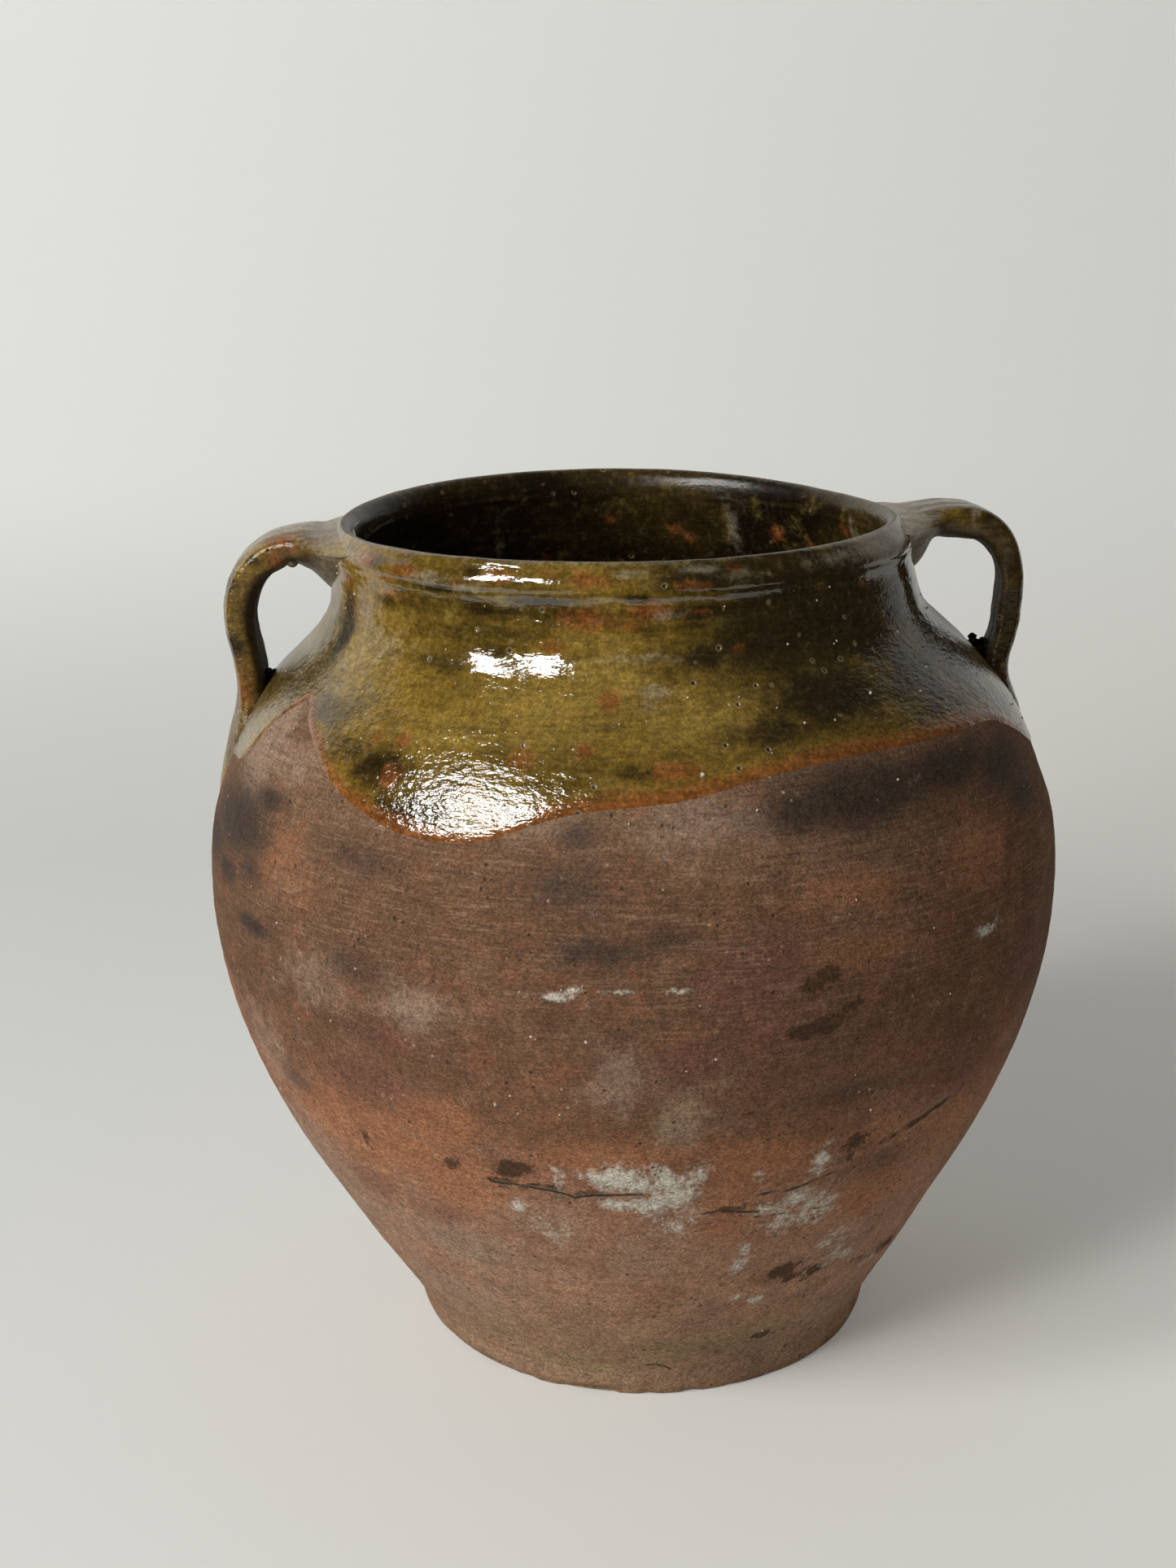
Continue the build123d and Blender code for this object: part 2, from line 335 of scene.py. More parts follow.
# Marks of the kiln, the glaze and long use, with painted shade and painted light among them: the
# turn and level of each middle, half its width in degrees, half its height as a share of the jar's,
# and how strong it is

soot_spots = (
    (30, 0.77, 13, 0.03, 1.1), (21, 0.765, 5, 0.022, 1), (46, 0.775, 12, 0.024, 1),
    (60, 0.755, 8, 0.028, 0.9), (64, 0.715, 5, 0.02, 0.8), (-66, 0.69, 11, 0.034, 1.1),
    (-76, 0.65, 8, 0.03, 0.9), (-59, 0.655, 4, 0.022, 0.75), (-58, 0.728, 5, 0.014, 0.9),
    (-67, 0.632, 4, 0.014, 1), (-57, 0.592, 4, 0.009, 1.2), (-38, 0.706, 8, 0.02, 0.6),
    (-36, 0.593, 5, 0.022, 0.55), (-53, 0.415, 5, 0.018, 0.55), (-5, 0.64, 6, 0.016, 0.75),
    (-9, 0.7, 6, 0.03, 0.6), (3, 0.655, 3, 0.014, 0.7), (26, 0.46, 7, 0.016, 0.6),
    (34, 0.35, 8, 0.024, 0.5), (-8, 0.75, 3, 0.014, 0.7),
)
plum_spots = (
    (6, 0.523, 4, 0.022, 1), (13, 0.61, 7, 0.04, 0.9), (-32, 0.517, 11, 0.02, 0.7),
    (-37, 0.46, 9, 0.035, 0.8), (-45, 0.3, 8, 0.028, 0.8), (45, 0.44, 10, 0.045, 0.8),
    (62, 0.53, 9, 0.035, 0.8), (16, 0.55, 6, 0.04, 0.6), (-33, 0.285, 6, 0.02, 0.7),
)
warm_spots = (
    (-42, 0.375, 15, 0.052, 1.1), (-27, 0.425, 6, 0.03, 1), (-25, 0.335, 8, 0.04, 1),
    (-61, 0.405, 8, 0.026, 0.9), (-74, 0.44, 7, 0.07, 0.9), (-3, 0.405, 12, 0.022, 0.8),
    (14, 0.39, 8, 0.028, 0.9), (12, 0.31, 4, 0.05, 0.9), (38, 0.39, 8, 0.024, 0.8),
    (36, 0.3, 8, 0.045, 0.75), (48, 0.36, 9, 0.05, 0.7), (27, 0.68, 10, 0.034, 0.6),
    (28, 0.625, 9, 0.03, 0.6), (48, 0.68, 7, 0.04, 0.7), (-53, 0.683, 8, 0.045, 0.6),
    (-47, 0.66, 6, 0.03, 0.5),
)
# Pale dusty patches; those near turn -60 also paint light on the lit left side
dust_and_light_spots = (
    (-28, 0.56, 5, 0.028, 0.8), (-3, 0.5, 3.5, 0.04, 0.7), (5, 0.45, 4, 0.035, 0.7),
    (-60, 0.27, 13, 0.085, 0.9), (-30, 0.235, 13, 0.035, 0.9), (-15, 0.3, 6, 0.035, 0.7),
    (0, 0.24, 8, 0.03, 0.6), (8, 0.76, 9, 0.03, 0.7), (-40, 0.13, 12, 0.04, 0.7),
    (35, 0.215, 8, 0.03, 0.6), (-12, 0.76, 7, 0.02, 0.5), (-66, 0.775, 6, 0.05, 1.2),
    (-56, 0.77, 5, 0.02, 0.8), (-60, 0.43, 7, 0.05, 0.8), (-44, 0.56, 6, 0.03, 0.7),
)
lime_spots = (
    (-3, 0.373, 3.5, 0.016, 1.3), (-1, 0.366, 3, 0.016, 1.2), (-4, 0.337, 2.6, 0.008, 1.1),
    (2.5, 0.37, 2, 0.022, 1.2), (5, 0.35, 2.6, 0.026, 1.1), (7.2, 0.378, 1.6, 0.016, 1),
    (1, 0.337, 4, 0.012, 1.1), (4, 0.307, 4.5, 0.03, 0.62), (-13, 0.293, 2.6, 0.034, 0.55),
    (-17.5, 0.323, 1.1, 0.01, 1), (-11, 0.37, 0.7, 0.02, 0.9), (24.5, 0.373, 1.6, 0.018, 0.95),
    (22, 0.325, 2.6, 0.013, 1.2), (18, 0.315, 2.6, 0.011, 0.9), (26, 0.303, 4, 0.022, 0.8),
    (22, 0.29, 5, 0.02, 0.7), (16, 0.25, 0.9, 0.011, 1.1), (15.5, 0.223, 1.2, 0.015, 1.2),
    (17, 0.167, 1.6, 0.005, 0.9), (20, 0.157, 2, 0.005, 0.9), (15.5, 0.367, 0.9, 0.01, 0.7),
    (35, 0.207, 3.2, 0.016, 0.6), (32, 0.235, 3, 0.02, 0.6), (37, 0.193, 4, 0.011, 0.7),
    (47, 0.603, 2.4, 0.006, 1.1), (-10, 0.593, 2, 0.006, 1.1), (-8, 0.6, 1.5, 0.004, 0.9),
    (-3, 0.6, 2, 0.003, 0.8), (4, 0.6, 1.5, 0.0035, 0.8), (48, 0.15, 4, 0.008, 0.7),
)
stain_spots = (
    (22, 0.547, 2.2, 0.009, 1.5), (18.7, 0.543, 1.3, 0.008, 1.3), (25.5, 0.565, 1.2, 0.005, 1.3),
    (22.5, 0.603, 1.4, 0.006, 1.3), (20, 0.593, 1.5, 0.007, 1.1), (-17, 0.377, 2.6, 0.01, 1.3),
    (-19, 0.357, 1.6, 0.005, 1.1), (-25.5, 0.373, 1.4, 0.01, 0.8), (25, 0.197, 2.6, 0.012, 1.2),
    (26.5, 0.183, 1.8, 0.008, 1.1), (31, 0.183, 2.3, 0.011, 1.1), (53, 0.16, 3, 0.01, 1),
    (44, 0.167, 3, 0.006, 0.8), (27, 0.08, 4, 0.008, 0.8), (75, 0.09, 3, 0.013, 0.9),
    (29, 0.383, 2.3, 0.02, 0.7), (-40, 0.375, 1.6, 0.012, 0.6), (-13, 0.356, 3, 0.006, 1.1),
    (-7, 0.35, 3, 0.005, 1), (12, 0.321, 2.5, 0.005, 1),
)
bloom_spots = (
    (20, 0.085, 12, 0.028, 1), (5, 0.075, 10, 0.02, 0.8), (-15, 0.045, 14, 0.018, 0.8),
    (40, 0.08, 10, 0.02, 0.7), (-35, 0.08, 9, 0.025, 0.6), (4, 0.46, 4, 0.03, 0.6),
)
rust_spots = (
    (-4.2, 0.866, 1.7, 0.009, 1.3), (-7.8, 0.823, 1.3, 0.007, 1.1), (4.2, 0.953, 4, 0.01, 1.1),
    (0.5, 0.937, 2, 0.008, 0.9), (-7.5, 0.943, 5, 0.012, 1), (-40.7, 0.815, 1.4, 0.006, 1),
    (-35.8, 0.818, 1.3, 0.007, 1.1), (-35.5, 0.785, 1.8, 0.011, 1.1), (-16.5, 0.814, 2.4, 0.01, 0.9),
    (5, 0.806, 3.6, 0.009, 1.1), (-13.5, 0.915, 2.6, 0.01, 0.9), (-12, 0.765, 2.6, 0.01, 0.9),
    (-43.8, 0.982, 4, 0.008, 1.1), (-22.5, 0.985, 3, 0.007, 1.1), (-7.2, 0.985, 2.4, 0.008, 1.1),
    (-3.9, 0.984, 1.4, 0.006, 1), (5.7, 0.957, 1.6, 0.005, 0.9), (12.9, 0.95, 2, 0.004, 0.7),
    (18.7, 0.911, 1.3, 0.005, 0.8), (-58, 0.985, 5, 0.009, 1), (-66, 0.955, 5, 0.012, 0.8),
    (12, 0.978, 4, 0.006, 0.8), (-31, 0.975, 2, 0.006, 0.7), (-50, 0.972, 3, 0.006, 0.8),
    (20, 0.99, 2, 0.005, 0.7), (-14, 0.99, 2, 0.004, 0.7), (-60, 0.93, 8, 0.02, 0.55),
    (-48, 0.955, 8, 0.01, 0.55),
)
# Darker glaze in places, and painted shade on the jar's right side, away from the lamps
dark_glaze_and_shade_spots = (
    (-52, 0.826, 8, 0.014, 0.62), (-45, 0.8, 6, 0.012, 0.7), (-38, 0.79, 5, 0.018, 0.9),
    (-31, 0.757, 5, 0.014, 0.9), (-36, 0.89, 7, 0.012, 0.62), (-26, 0.908, 5, 0.008, 0.62),
    (13, 0.905, 9, 0.02, 0.68), (7, 0.89, 5, 0.014, 0.55), (22, 0.95, 16, 0.01, 1.1),
    (42, 0.945, 15, 0.014, 1.1), (48, 0.9, 9, 0.04, 1), (55, 0.85, 12, 0.05, 0.9),
    (70, 0.87, 12, 0.07, 1.1), (-64, 0.9, 3, 0.04, 1), (-73, 0.835, 8, 0.022, 0.55),
    (34, 0.925, 17, 0.045, 1.5), (30, 0.985, 22, 0.02, 1.3), (32, 0.86, 13, 0.03, 1.1),
    (20, 0.835, 9, 0.014, 0.8), (62, 0.95, 14, 0.06, 1.1), (-2, 0.805, 5, 0.008, 0.7),
    (-22, 0.95, 9, 0.008, 0.8), (-48, 0.945, 8, 0.01, 0.7), (-16, 0.962, 6, 0.006, 1),
    (2, 0.966, 4, 0.006, 0.9), (9, 0.985, 5, 0.006, 0.9), (-36, 0.968, 5, 0.005, 1),
    (-53, 0.985, 3, 0.008, 0.8), (24, 0.968, 9, 0.008, 1.2), (45, 0.975, 14, 0.016, 1.2),
    (-28, 0.988, 3, 0.005, 0.8), (-66, 0.995, 0.6, 0.014, 1.3), (-8, 0.95, 50, 0.013, 0.6),
    (-30, 0.925, 14, 0.008, 0.55), (8, 0.935, 12, 0.008, 0.6),
)
amber_spots = (
    (-46, 0.875, 12, 0.035, 0.6), (-15, 0.85, 11, 0.028, 1), (-4, 0.88, 8, 0.035, 0.9),
    (12, 0.85, 14, 0.026, 0.9), (-30, 0.83, 8, 0.02, 0.8), (32, 0.89, 8, 0.02, 0.7),
    (-58, 0.88, 6, 0.04, 0.8), (-6, 0.92, 7, 0.015, 0.7),
)
film_spots = (
    (3, 0.873, 2.6, 0.006, 1), (2, 0.867, 1.4, 0.01, 0.7), (7, 0.948, 2.6, 0.004, 0.9),
    (-57, 0.925, 3, 0.012, 0.8), (60, 0.985, 12, 0.012, 1), (44, 0.988, 8, 0.008, 0.7),
    (-60, 0.86, 4, 0.02, 0.6), (-66, 0.8, 6, 0.016, 0.55), (-60, 0.845, 5, 0.012, 0.6),
    (-70, 0.815, 5, 0.03, 0.6), (-76, 0.78, 6, 0.03, 0.6), (-50, 0.895, 6, 0.02, 0.6),
    (2, 0.905, 5, 0.006, 0.7), (-38, 0.978, 4, 0.006, 0.9), (-30, 0.972, 3, 0.005, 0.8),
    (1, 0.99, 3, 0.004, 0.8), (14, 0.993, 3, 0.004, 0.9), (21, 0.985, 4, 0.004, 0.7),
    (-64, 0.985, 6, 0.008, 0.9),
)
dull_spots = (
    (-90, 0.89, 20, 0.05, 0.55), (-84, 0.84, 12, 0.03, 0.45), (97, 0.89, 14, 0.05, 0.8),
    (-66, 0.9, 9, 0.04, 0.4), (-60, 0.86, 8, 0.02, 0.4),
)
ember_spots = (
    (-178, 0.935, 1.6, 0.008, 0.8), (166.5, 0.923, 2.4, 0.009, 0.9), (163, 0.909, 1.6, 0.008, 0.9),
    (140, 0.93, 2.4, 0.012, 0.9), (130, 0.916, 1.8, 0.009, 0.9), (115, 0.958, 2.5, 0.01, 0.8),
    (-162, 0.88, 2, 0.008, 0.8), (-135, 0.885, 3, 0.012, 0.7), (60, 0.9, 3, 0.012, 0.8),
    (-40, 0.86, 3, 0.014, 0.8), (10, 0.82, 4, 0.012, 0.8), (-90, 0.93, 2, 0.01, 0.8),
)
# Painted shade inside the mouth, deepest on the left, where the lamps don't reach
lining_painted_shade = (
    (-130, 0.92, 42, 0.06, 1.6), (-120, 0.84, 60, 0.06, 1.4), (178, 0.89, 20, 0.02, 0.9),
    (148, 0.88, 16, 0.018, 1), (120, 0.9, 12, 0.03, 0.8), (60, 0.86, 50, 0.05, 1),
)
run_spots = (
    (152, 0.93, 1.3, 0.028, 0.8), (110, 0.935, 1.1, 0.03, 1.1), (112, 0.96, 0.8, 0.02, 0.9),
    (-150, 0.9, 1, 0.04, 0.6), (30, 0.88, 1.2, 0.05, 0.8), (-70, 0.84, 1.5, 0.06, 0.7),
)


def spread(turn, level, spots):
    """How strongly each place is marked: the largest, over the spots, of a bell of the distance
    from the spot's middle in its own half width and half height."""
    strength = np.zeros(np.broadcast_shapes(np.shape(turn), np.shape(level)))
    for middle, height, wide, tall, depth in spots:
        away = (turn_from(middle, turn) / wide) ** 2 + ((level - height) / tall) ** 2
        strength = np.maximum(strength, depth * np.exp(-0.7 * away))
    return strength


def marks_over(across, along, kinds):
    """The strength of each kind of mark over a surface."""
    return {key: spread(across, along, spots) for key, spots in kinds.items()}


def strewn(count, seed, levels, wide, tall):
    """Spots strewn round the back, where the photograph doesn't reach: turns past both sides, and
    levels and sizes between the limits, all drawn evenly from a seeded source."""
    draw = np.random.default_rng(seed)
    limits = ((84, 276), levels, wide, tall, (0.7, 1.2))
    return tuple(tuple(draw.uniform(*pair) for pair in limits) for _ in range(count))


soot_spots += strewn(16, 11, (0.55, 0.78), (4, 13), (0.012, 0.035))
plum_spots += strewn(14, 12, (0.3, 0.62), (4, 12), (0.02, 0.05))
warm_spots += strewn(18, 13, (0.28, 0.7), (5, 15), (0.02, 0.055))
dust_and_light_spots += strewn(18, 14, (0.1, 0.6), (4, 13), (0.02, 0.06))
lime_spots += strewn(22, 15, (0.16, 0.4), (0.8, 4), (0.006, 0.022))
stain_spots += strewn(18, 16, (0.08, 0.6), (0.8, 3), (0.004, 0.013))
bloom_spots += strewn(8, 17, (0.03, 0.1), (6, 14), (0.015, 0.03))
rust_spots += strewn(26, 18, (0.74, 0.98), (1.2, 3.6), (0.006, 0.013))
dark_glaze_and_shade_spots += strewn(20, 19, (0.72, 0.96), (4, 13), (0.01, 0.04))
amber_spots += strewn(14, 20, (0.72, 0.93), (5, 13), (0.02, 0.04))

# Cracks and scratches in the clay: half the width in millimetres, then turns and levels along it
crack_lines = (
    (0.4, (-20.5, 0.355), (-17, 0.356), (-14, 0.353), (-11, 0.351), (-9, 0.345), (-6, 0.35), (0, 0.352)),
    (0.4, (8.5, 0.319), (11, 0.322), (13.5, 0.317), (16.5, 0.313)),
    (0.3, (16, 0.305), (19, 0.304), (22, 0.3035), (26, 0.3)),
    (0.5, (15.5, 0.338), (18, 0.341), (20, 0.338), (22, 0.342), (24, 0.346), (26.5, 0.351)),
    (1.1, (33.2, 0.378), (35, 0.38), (38, 0.387), (42, 0.397), (47, 0.407)),
    (0.4, (0, 0.049), (2, 0.05), (5, 0.043), (6.2, 0.034)),
    (0.5, (40.5, 0.248), (42.5, 0.243)),
    (0.7, (118, 0.342), (126, 0.338), (131, 0.345), (140, 0.341)),
    (0.5, (-150, 0.333), (-141, 0.33), (-133, 0.337), (-126, 0.335)),
    (0.5, (160, 0.47), (171, 0.452)),
)


def beside_lines(turn, level, lines):
    """Signed height over the nearest line, in its own half widths. Past a line's ends the distance
    grows with the angle, and lines don't come within a few widths of each other."""
    far = 12.0
    nearest = np.full(np.broadcast_shapes(np.shape(turn), np.shape(level)), far)
    for half_width, *way in lines:
        way = np.array(way)
        over = (level - np.interp(turn, way[:, 0], way[:, 1])) * jar_height / (half_width * mm)
        past = np.maximum(np.maximum(way[0, 0] - turn, turn - way[-1, 0]), 0)
        past = past * 2.5 * belly_radius / jar_height
        over = np.where(over < 0, over - past * 4, over + past * 4)
        nearest = np.where(np.abs(over) < np.abs(nearest), over, nearest)
    return np.clip(nearest, -far, far)


clay_spots = {
    "soot": soot_spots, "plum": plum_spots, "warm": warm_spots, "dust_and_light": dust_and_light_spots,
    "lime": lime_spots, "stain": stain_spots, "bloom": bloom_spots,
}
coat_spots = {
    "rust": rust_spots, "shade": dark_glaze_and_shade_spots, "amber": amber_spots, "film_and_highlight": film_spots,
    "matt": dull_spots,
}
lining_spots = {"rust": ember_spots, "shade": lining_painted_shade, "amber": (), "film_and_highlight": run_spots}


def clay_marks(turn, run):
    """The clay's marks at places on the jar's line."""
    level = height_at(run) / jar_height
    marks = marks_over(turn, level, clay_spots)
    marks["crack"] = beside_lines(turn, level, crack_lines)
    return marks


def glaze_marks(turn, run, kinds, over_edge):
    """A coat's marks at places on the jar's line. Its worn crest counts as film."""
    marks = {"over_edge": over_edge, **marks_over(turn, height_at(run) / jar_height, kinds)}
    marks["film_and_highlight"] = np.maximum(marks["film_and_highlight"], worn_crest(turn, run))
    return marks


# The clay: foot slab, lower and upper wall, and the folded rim


def wall(name, low, high, rows, node):
    """A thrown wall between two heights: up the outside, over the joint and down the inside, which
    stays behind the lining. The seam between the walls is a little sunk and ragged, where the two
    were luted together."""
    up = np.linspace(up_run(low), up_run(high), rows)
    down = np.linspace(down_run(high), down_run(low), rows // 4)
    runs = np.r_[up, down][:, None]
    behind = np.r_[np.zeros(len(up)), np.full(len(down), -glaze_root)][:, None]
    waver, depth, reach = 1.2 * mm, 0.35 * mm, 1.6 * mm
    ragged = join_height + waver * grain(turns, 0, 30, 1, 21)
    uneven = 0.4 + 0.6 * grain(turns, 0, 11, 1, 22)
    seam = depth * bell((height_at(runs) - ragged) / reach) * uneven
    outer_side = np.r_[np.ones(len(up)), np.zeros(len(down))][:, None]
    points = skin(turns, runs, behind - seam * outer_side)
    piece = net(name, points, closed_rows=True, marks=clay_marks(turns, runs))
    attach(piece, "root")
    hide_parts(node)
    return piece


def foot():
    """The foot slab: its upper face under the lining, down the foot's edge, which is chipped and
    worn, and in over the underside, where the cutting wire left shallow arcs."""
    edge_radius = line_stations[0, 0]
    worn_height, chip_height = 4.5 * mm, 3 * mm
    wire_middle, wire_pitch, wire_depth = 160 * mm, 5.5 * mm, 0.25 * mm
    top = np.linspace(0.02, 1, 12)[:, None] * radius_at(up_run(slab_height))
    side = np.linspace(up_run(slab_height), 0, 22)[1:, None]
    under = (1 - np.linspace(0.012, 0.985, 30) ** 1.3)[:, None] * edge_radius
    upper = place(turns, top + 0 * turns, np.full_like(top + turns, slab_height))
    height = height_at(side)
    worn = np.clip(1 - height / worn_height, 0, 1) ** 2
    large_chips = np.clip(grain(turns, 0, 26, 1, 31) - 0.25, 0, 1)
    chips = large_chips + 0.5 * np.clip(grain(turns, 0, 70, 1, 32), 0, 1)
    edge = skin(turns, side, -(0.7 + 1.7 * chips) * mm * worn)
    edge[..., 2] += (0.5 + 0.9 * chips) * mm * worn * np.clip(height / chip_height, 0.12, 1)
    angle = np.radians(turns + camera_turn)
    wire = np.hypot(under * np.sin(angle) + wire_middle, under * np.cos(angle)) / wire_pitch
    ridge = wire_depth * (1 + np.sin(2 * np.pi * wire + 1.5 * grain(turns, under, 6, 0.03, 33)))
    rim_round = 0.5 * mm * np.clip((under / edge_radius - 0.97) / 0.03, 0, 1) ** 2
    drawn_in = under - 1.2 * mm * (under / edge_radius) ** 8
    below = place(turns, drawn_in, ridge * (under < 0.95 * edge_radius) + rim_round)
    points = np.concatenate([upper, edge, below])
    runs = np.r_[np.full(len(top), up_run(slab_height)), side[:, 0], np.zeros(len(under))][:, None]
    piece = net("turned_foot", points, capped=(True, True), marks=clay_marks(turns, runs))
    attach(piece, "root")
    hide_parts("foot_slab")
    return piece


def rim():
    """The folded rim under its coats: over the crest from the fold to the mouth."""
    runs = np.linspace(up_run(fold_height), down_run(fold_height), 40)[:, None]
    piece = net("folded_rim", skin(turns, runs, 0.0), closed_rows=True, marks=clay_marks(turns, runs))
    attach(piece, "root")
    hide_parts("rim_roll")
    return piece


# The poured coat's lower edge: the turn, then the level
glaze_edge = (
    (-160, 0.715), (-135, 0.7), (-116, 0.716), (-101, 0.708), (-88, 0.716), (-78, 0.735), (-70.5, 0.759),
    (-67.7, 0.788), (-64.3, 0.815), (-61.9, 0.826), (-58.9, 0.818), (-54, 0.801), (-49.5, 0.783),
    (-45.8, 0.769), (-41.4, 0.756), (-35, 0.741), (-27, 0.733), (-20, 0.739), (-14, 0.757), (-9, 0.769),
    (0, 0.777), (10, 0.787), (18, 0.799), (25, 0.804), (45, 0.802), (58, 0.799), (66, 0.79), (73, 0.765),
    (80, 0.738), (92, 0.718), (112, 0.705), (135, 0.735), (160, 0.765), (180, 0.755),
)


def edge_level(turn):
    """Level of the poured coat's lower edge: a cubic through its places, carried once more round
    at both ends so that it closes, and frayed by fine noise."""
    way = np.array(glaze_edge)
    way = np.vstack([way - (360, 0), way, way + (360, 0)])
    frayed = 0.0007 * grain(turn, 0, 90, 1, 41) + 0.0012 * grain(turn, 0, 31, 1, 42)
    return cubic(way[:, 0], way[:, 1], turn) + frayed


def coat_depth(turn, run):
    """Thickness of the glaze away from its edge, which both coats share where they meet."""
    uneven = 1 + 0.15 * grain(turn, run, 60, 0.02, 43) + 0.1 * grain(turn, run, 130, 0.005, 44)
    return glaze_thickness * uneven


def worn_crest(turn, run):
    """How worn the glaze is on the rim's crest: a bell of the distance from it, stronger in some
    places round the jar than in others."""
    reach = 1.5 * mm
    return (0.55 + 0.35 * grain(turn, 0, 13, 1, 45)) * bell((run - crest_run) / reach)


def pour():
    """The poured coat: from its edge up over shoulder, neck and fold to the rim's crest, and back
    behind the clay's surface. It thickens from nothing within a millimetre, with a soft bead, and
    beside the left strap it is well covered down to its edge."""
    thickening, bead_middle, bead_reach = 1.1 * mm, 2.2 * mm, 1.5 * mm
    covered_turn, covered_reach = -82, 15
    start = up_run(edge_level(turns) * jar_height)
    fold = up_run(fold_height - 5 * mm)
    climb = np.linspace(0, 1, 96)[:, None] ** 1.15
    rise = np.linspace(fold, crest_run, 36)[1:, None] + 0 * turns
    outward = np.concatenate([start + climb * (fold - start), rise])
    inward = np.concatenate([rise[::-3], start + np.linspace(1, 0, 12)[:, None] * (fold - start)])
    above = outward - start
    bead = 0.35 * bell((above - bead_middle) / bead_reach)
    swell = 1 - np.exp(-above / thickening) + bead
    out = coat_depth(turns, outward) * (0.08 + 0.92 * swell)
    covered = 7 * mm * bell((turns - covered_turn) / covered_reach)
    points = np.concatenate([skin(turns, outward, out), skin(turns, inward, -glaze_root)])
    runs = np.concatenate([outward, inward])
    over_edge = (np.concatenate([above, inward - start]) + covered) / mm
    marks = glaze_marks(turns, runs, coat_spots, over_edge)
    piece = net("poured_glaze", points, closed_rows=True, marks=marks)
    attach(piece, "root")
    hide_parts("outer_glaze")
    return piece


def lining():
    """The lining: from the rim's crest down the inside to the middle of the floor, and back behind
    the clay's surface."""
    rim_end, floor_end = crest_run + mouth_depth, line_run[-1] - 2 * mm
    mouth = np.linspace(crest_run, rim_end, 26)
    down = np.r_[mouth, np.linspace(rim_end, floor_end, 100)[1:]][:, None]
    back = down[::-4]
    shown, hidden = skin(turns, down, coat_depth(turns, down)), skin(turns, back, -2 * glaze_root)
    points = np.concatenate([shown, hidden])
    points = np.roll(points, -len(down), axis=0)
    runs = np.roll(np.concatenate([down, back]), -len(down), axis=0)
    marks = glaze_marks(turns, runs, lining_spots, over_edge=60.0)
    piece = net("glaze_lining", points, capped=(True, True), marks=marks)
    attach(piece, "root")
    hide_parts("inner_glaze")
    return piece


# Where the straps sit round the jar
left_turn, right_turn = -88.0, 98.0

# A strap handle's stations in millimetres, from the rim's crest, over the arch and down the
# shoulder: radius, height, half width, thickness over and under the middle, then how far it wraps
# round the jar and how far its section thins to feathered sides
strap_stations = (
    (96.3, 297.4, 38, 2.4, 2.4, 1, 1), (98.5, 297, 41, 3.2, 6, 1, 1), (101.5, 295.8, 40, 4.4, 22, 1, 1),
    (104, 294.7, 33, 5, 20.5, 1, 0.9), (107, 293.9, 25.5, 5.1, 13, 0.8, 0.6),
    (111, 293.4, 19, 4.9, 8.8, 0.5, 0.3), (116, 293, 15.6, 4.6, 7.2, 0.2, 0.1),
    (122, 292.2, 14.4, 4.5, 7.3, 0, 0), (128, 289.6, 14, 4.5, 7.4, 0, 0),
    (132.8, 284.8, 13.9, 4.5, 7, 0, 0), (135.9, 278, 13.8, 4.4, 6.2, 0, 0),
    (137.2, 269.5, 13.6, 4.4, 5.2, 0, 0), (136.7, 259, 13.6, 4.4, 4.6, 0, 0),
    (134.9, 248, 13.9, 4.4, 4.6, 0.2, 0), (134, 240, 15, 4.5, 5.6, 0.5, 0.1),
    (135, 232, 16.8, 4.6, 6.4, 1, 0.3), (138.4, 223, 16.5, 4.4, 5.4, 1, 0.6),
    (142.3, 213.5, 12.5, 3.6, 3.8, 1, 0.9), (145.3, 206, 8, 2.2, 2.4, 1, 1),
    (147.3, 200, 4, 1, 1.2, 1, 1),
)

# What tells one strap from the other: the share of its length, then millimetres that it stands
# further out, further up, and thicker on its inner face
left_bends = (
    (0, 0, 0, 0), (0.04, 0, -1.2, 4.8), (0.065, -0.1, -1, 1.6), (0.09, -0.4, -0.5, -0.6),
    (0.12, -1, 0.1, 0.2), (0.16, -1.8, 0.2, -0.5), (0.21, -2.4, -0.3, -0.3), (0.26, -2.6, -0.9, -0.4),
    (0.31, -2.4, -1.2, -0.2), (0.37, -1.7, -1, 0.5), (0.44, -0.8, -0.8, 1), (0.52, 0, -0.6, 1),
    (0.61, 0.2, -0.3, 0.8), (0.67, 0.7, 0, 0.4), (0.73, 0.9, 0, 0), (0.81, 0.4, 0, 0), (1, 0, 0, 0),
)
right_bends = (
    (0, 0, 0, 0), (0.04, 0, 0, 1), (0.065, 0.1, 0.5, -1.2), (0.09, 0.5, 1.6, -4), (0.12, 1.3, 3, -1.4),
    (0.16, 2.3, 4.1, 1.2), (0.21, 3.3, 4.2, 1), (0.26, 3.6, 3.9, -0.1), (0.31, 4, 3.4, -0.3),
    (0.37, 4.1, 2.9, -0.3), (0.44, 3.3, 2.2, -0.2), (0.52, 2, 1.5, 0.5), (0.61, 1, 0.7, 0),
    (0.67, 0.3, 0.3, -0.3), (0.73, 0, 0, 0), (0.81, 0, 0, 0), (1, 0, 0, 0),
)
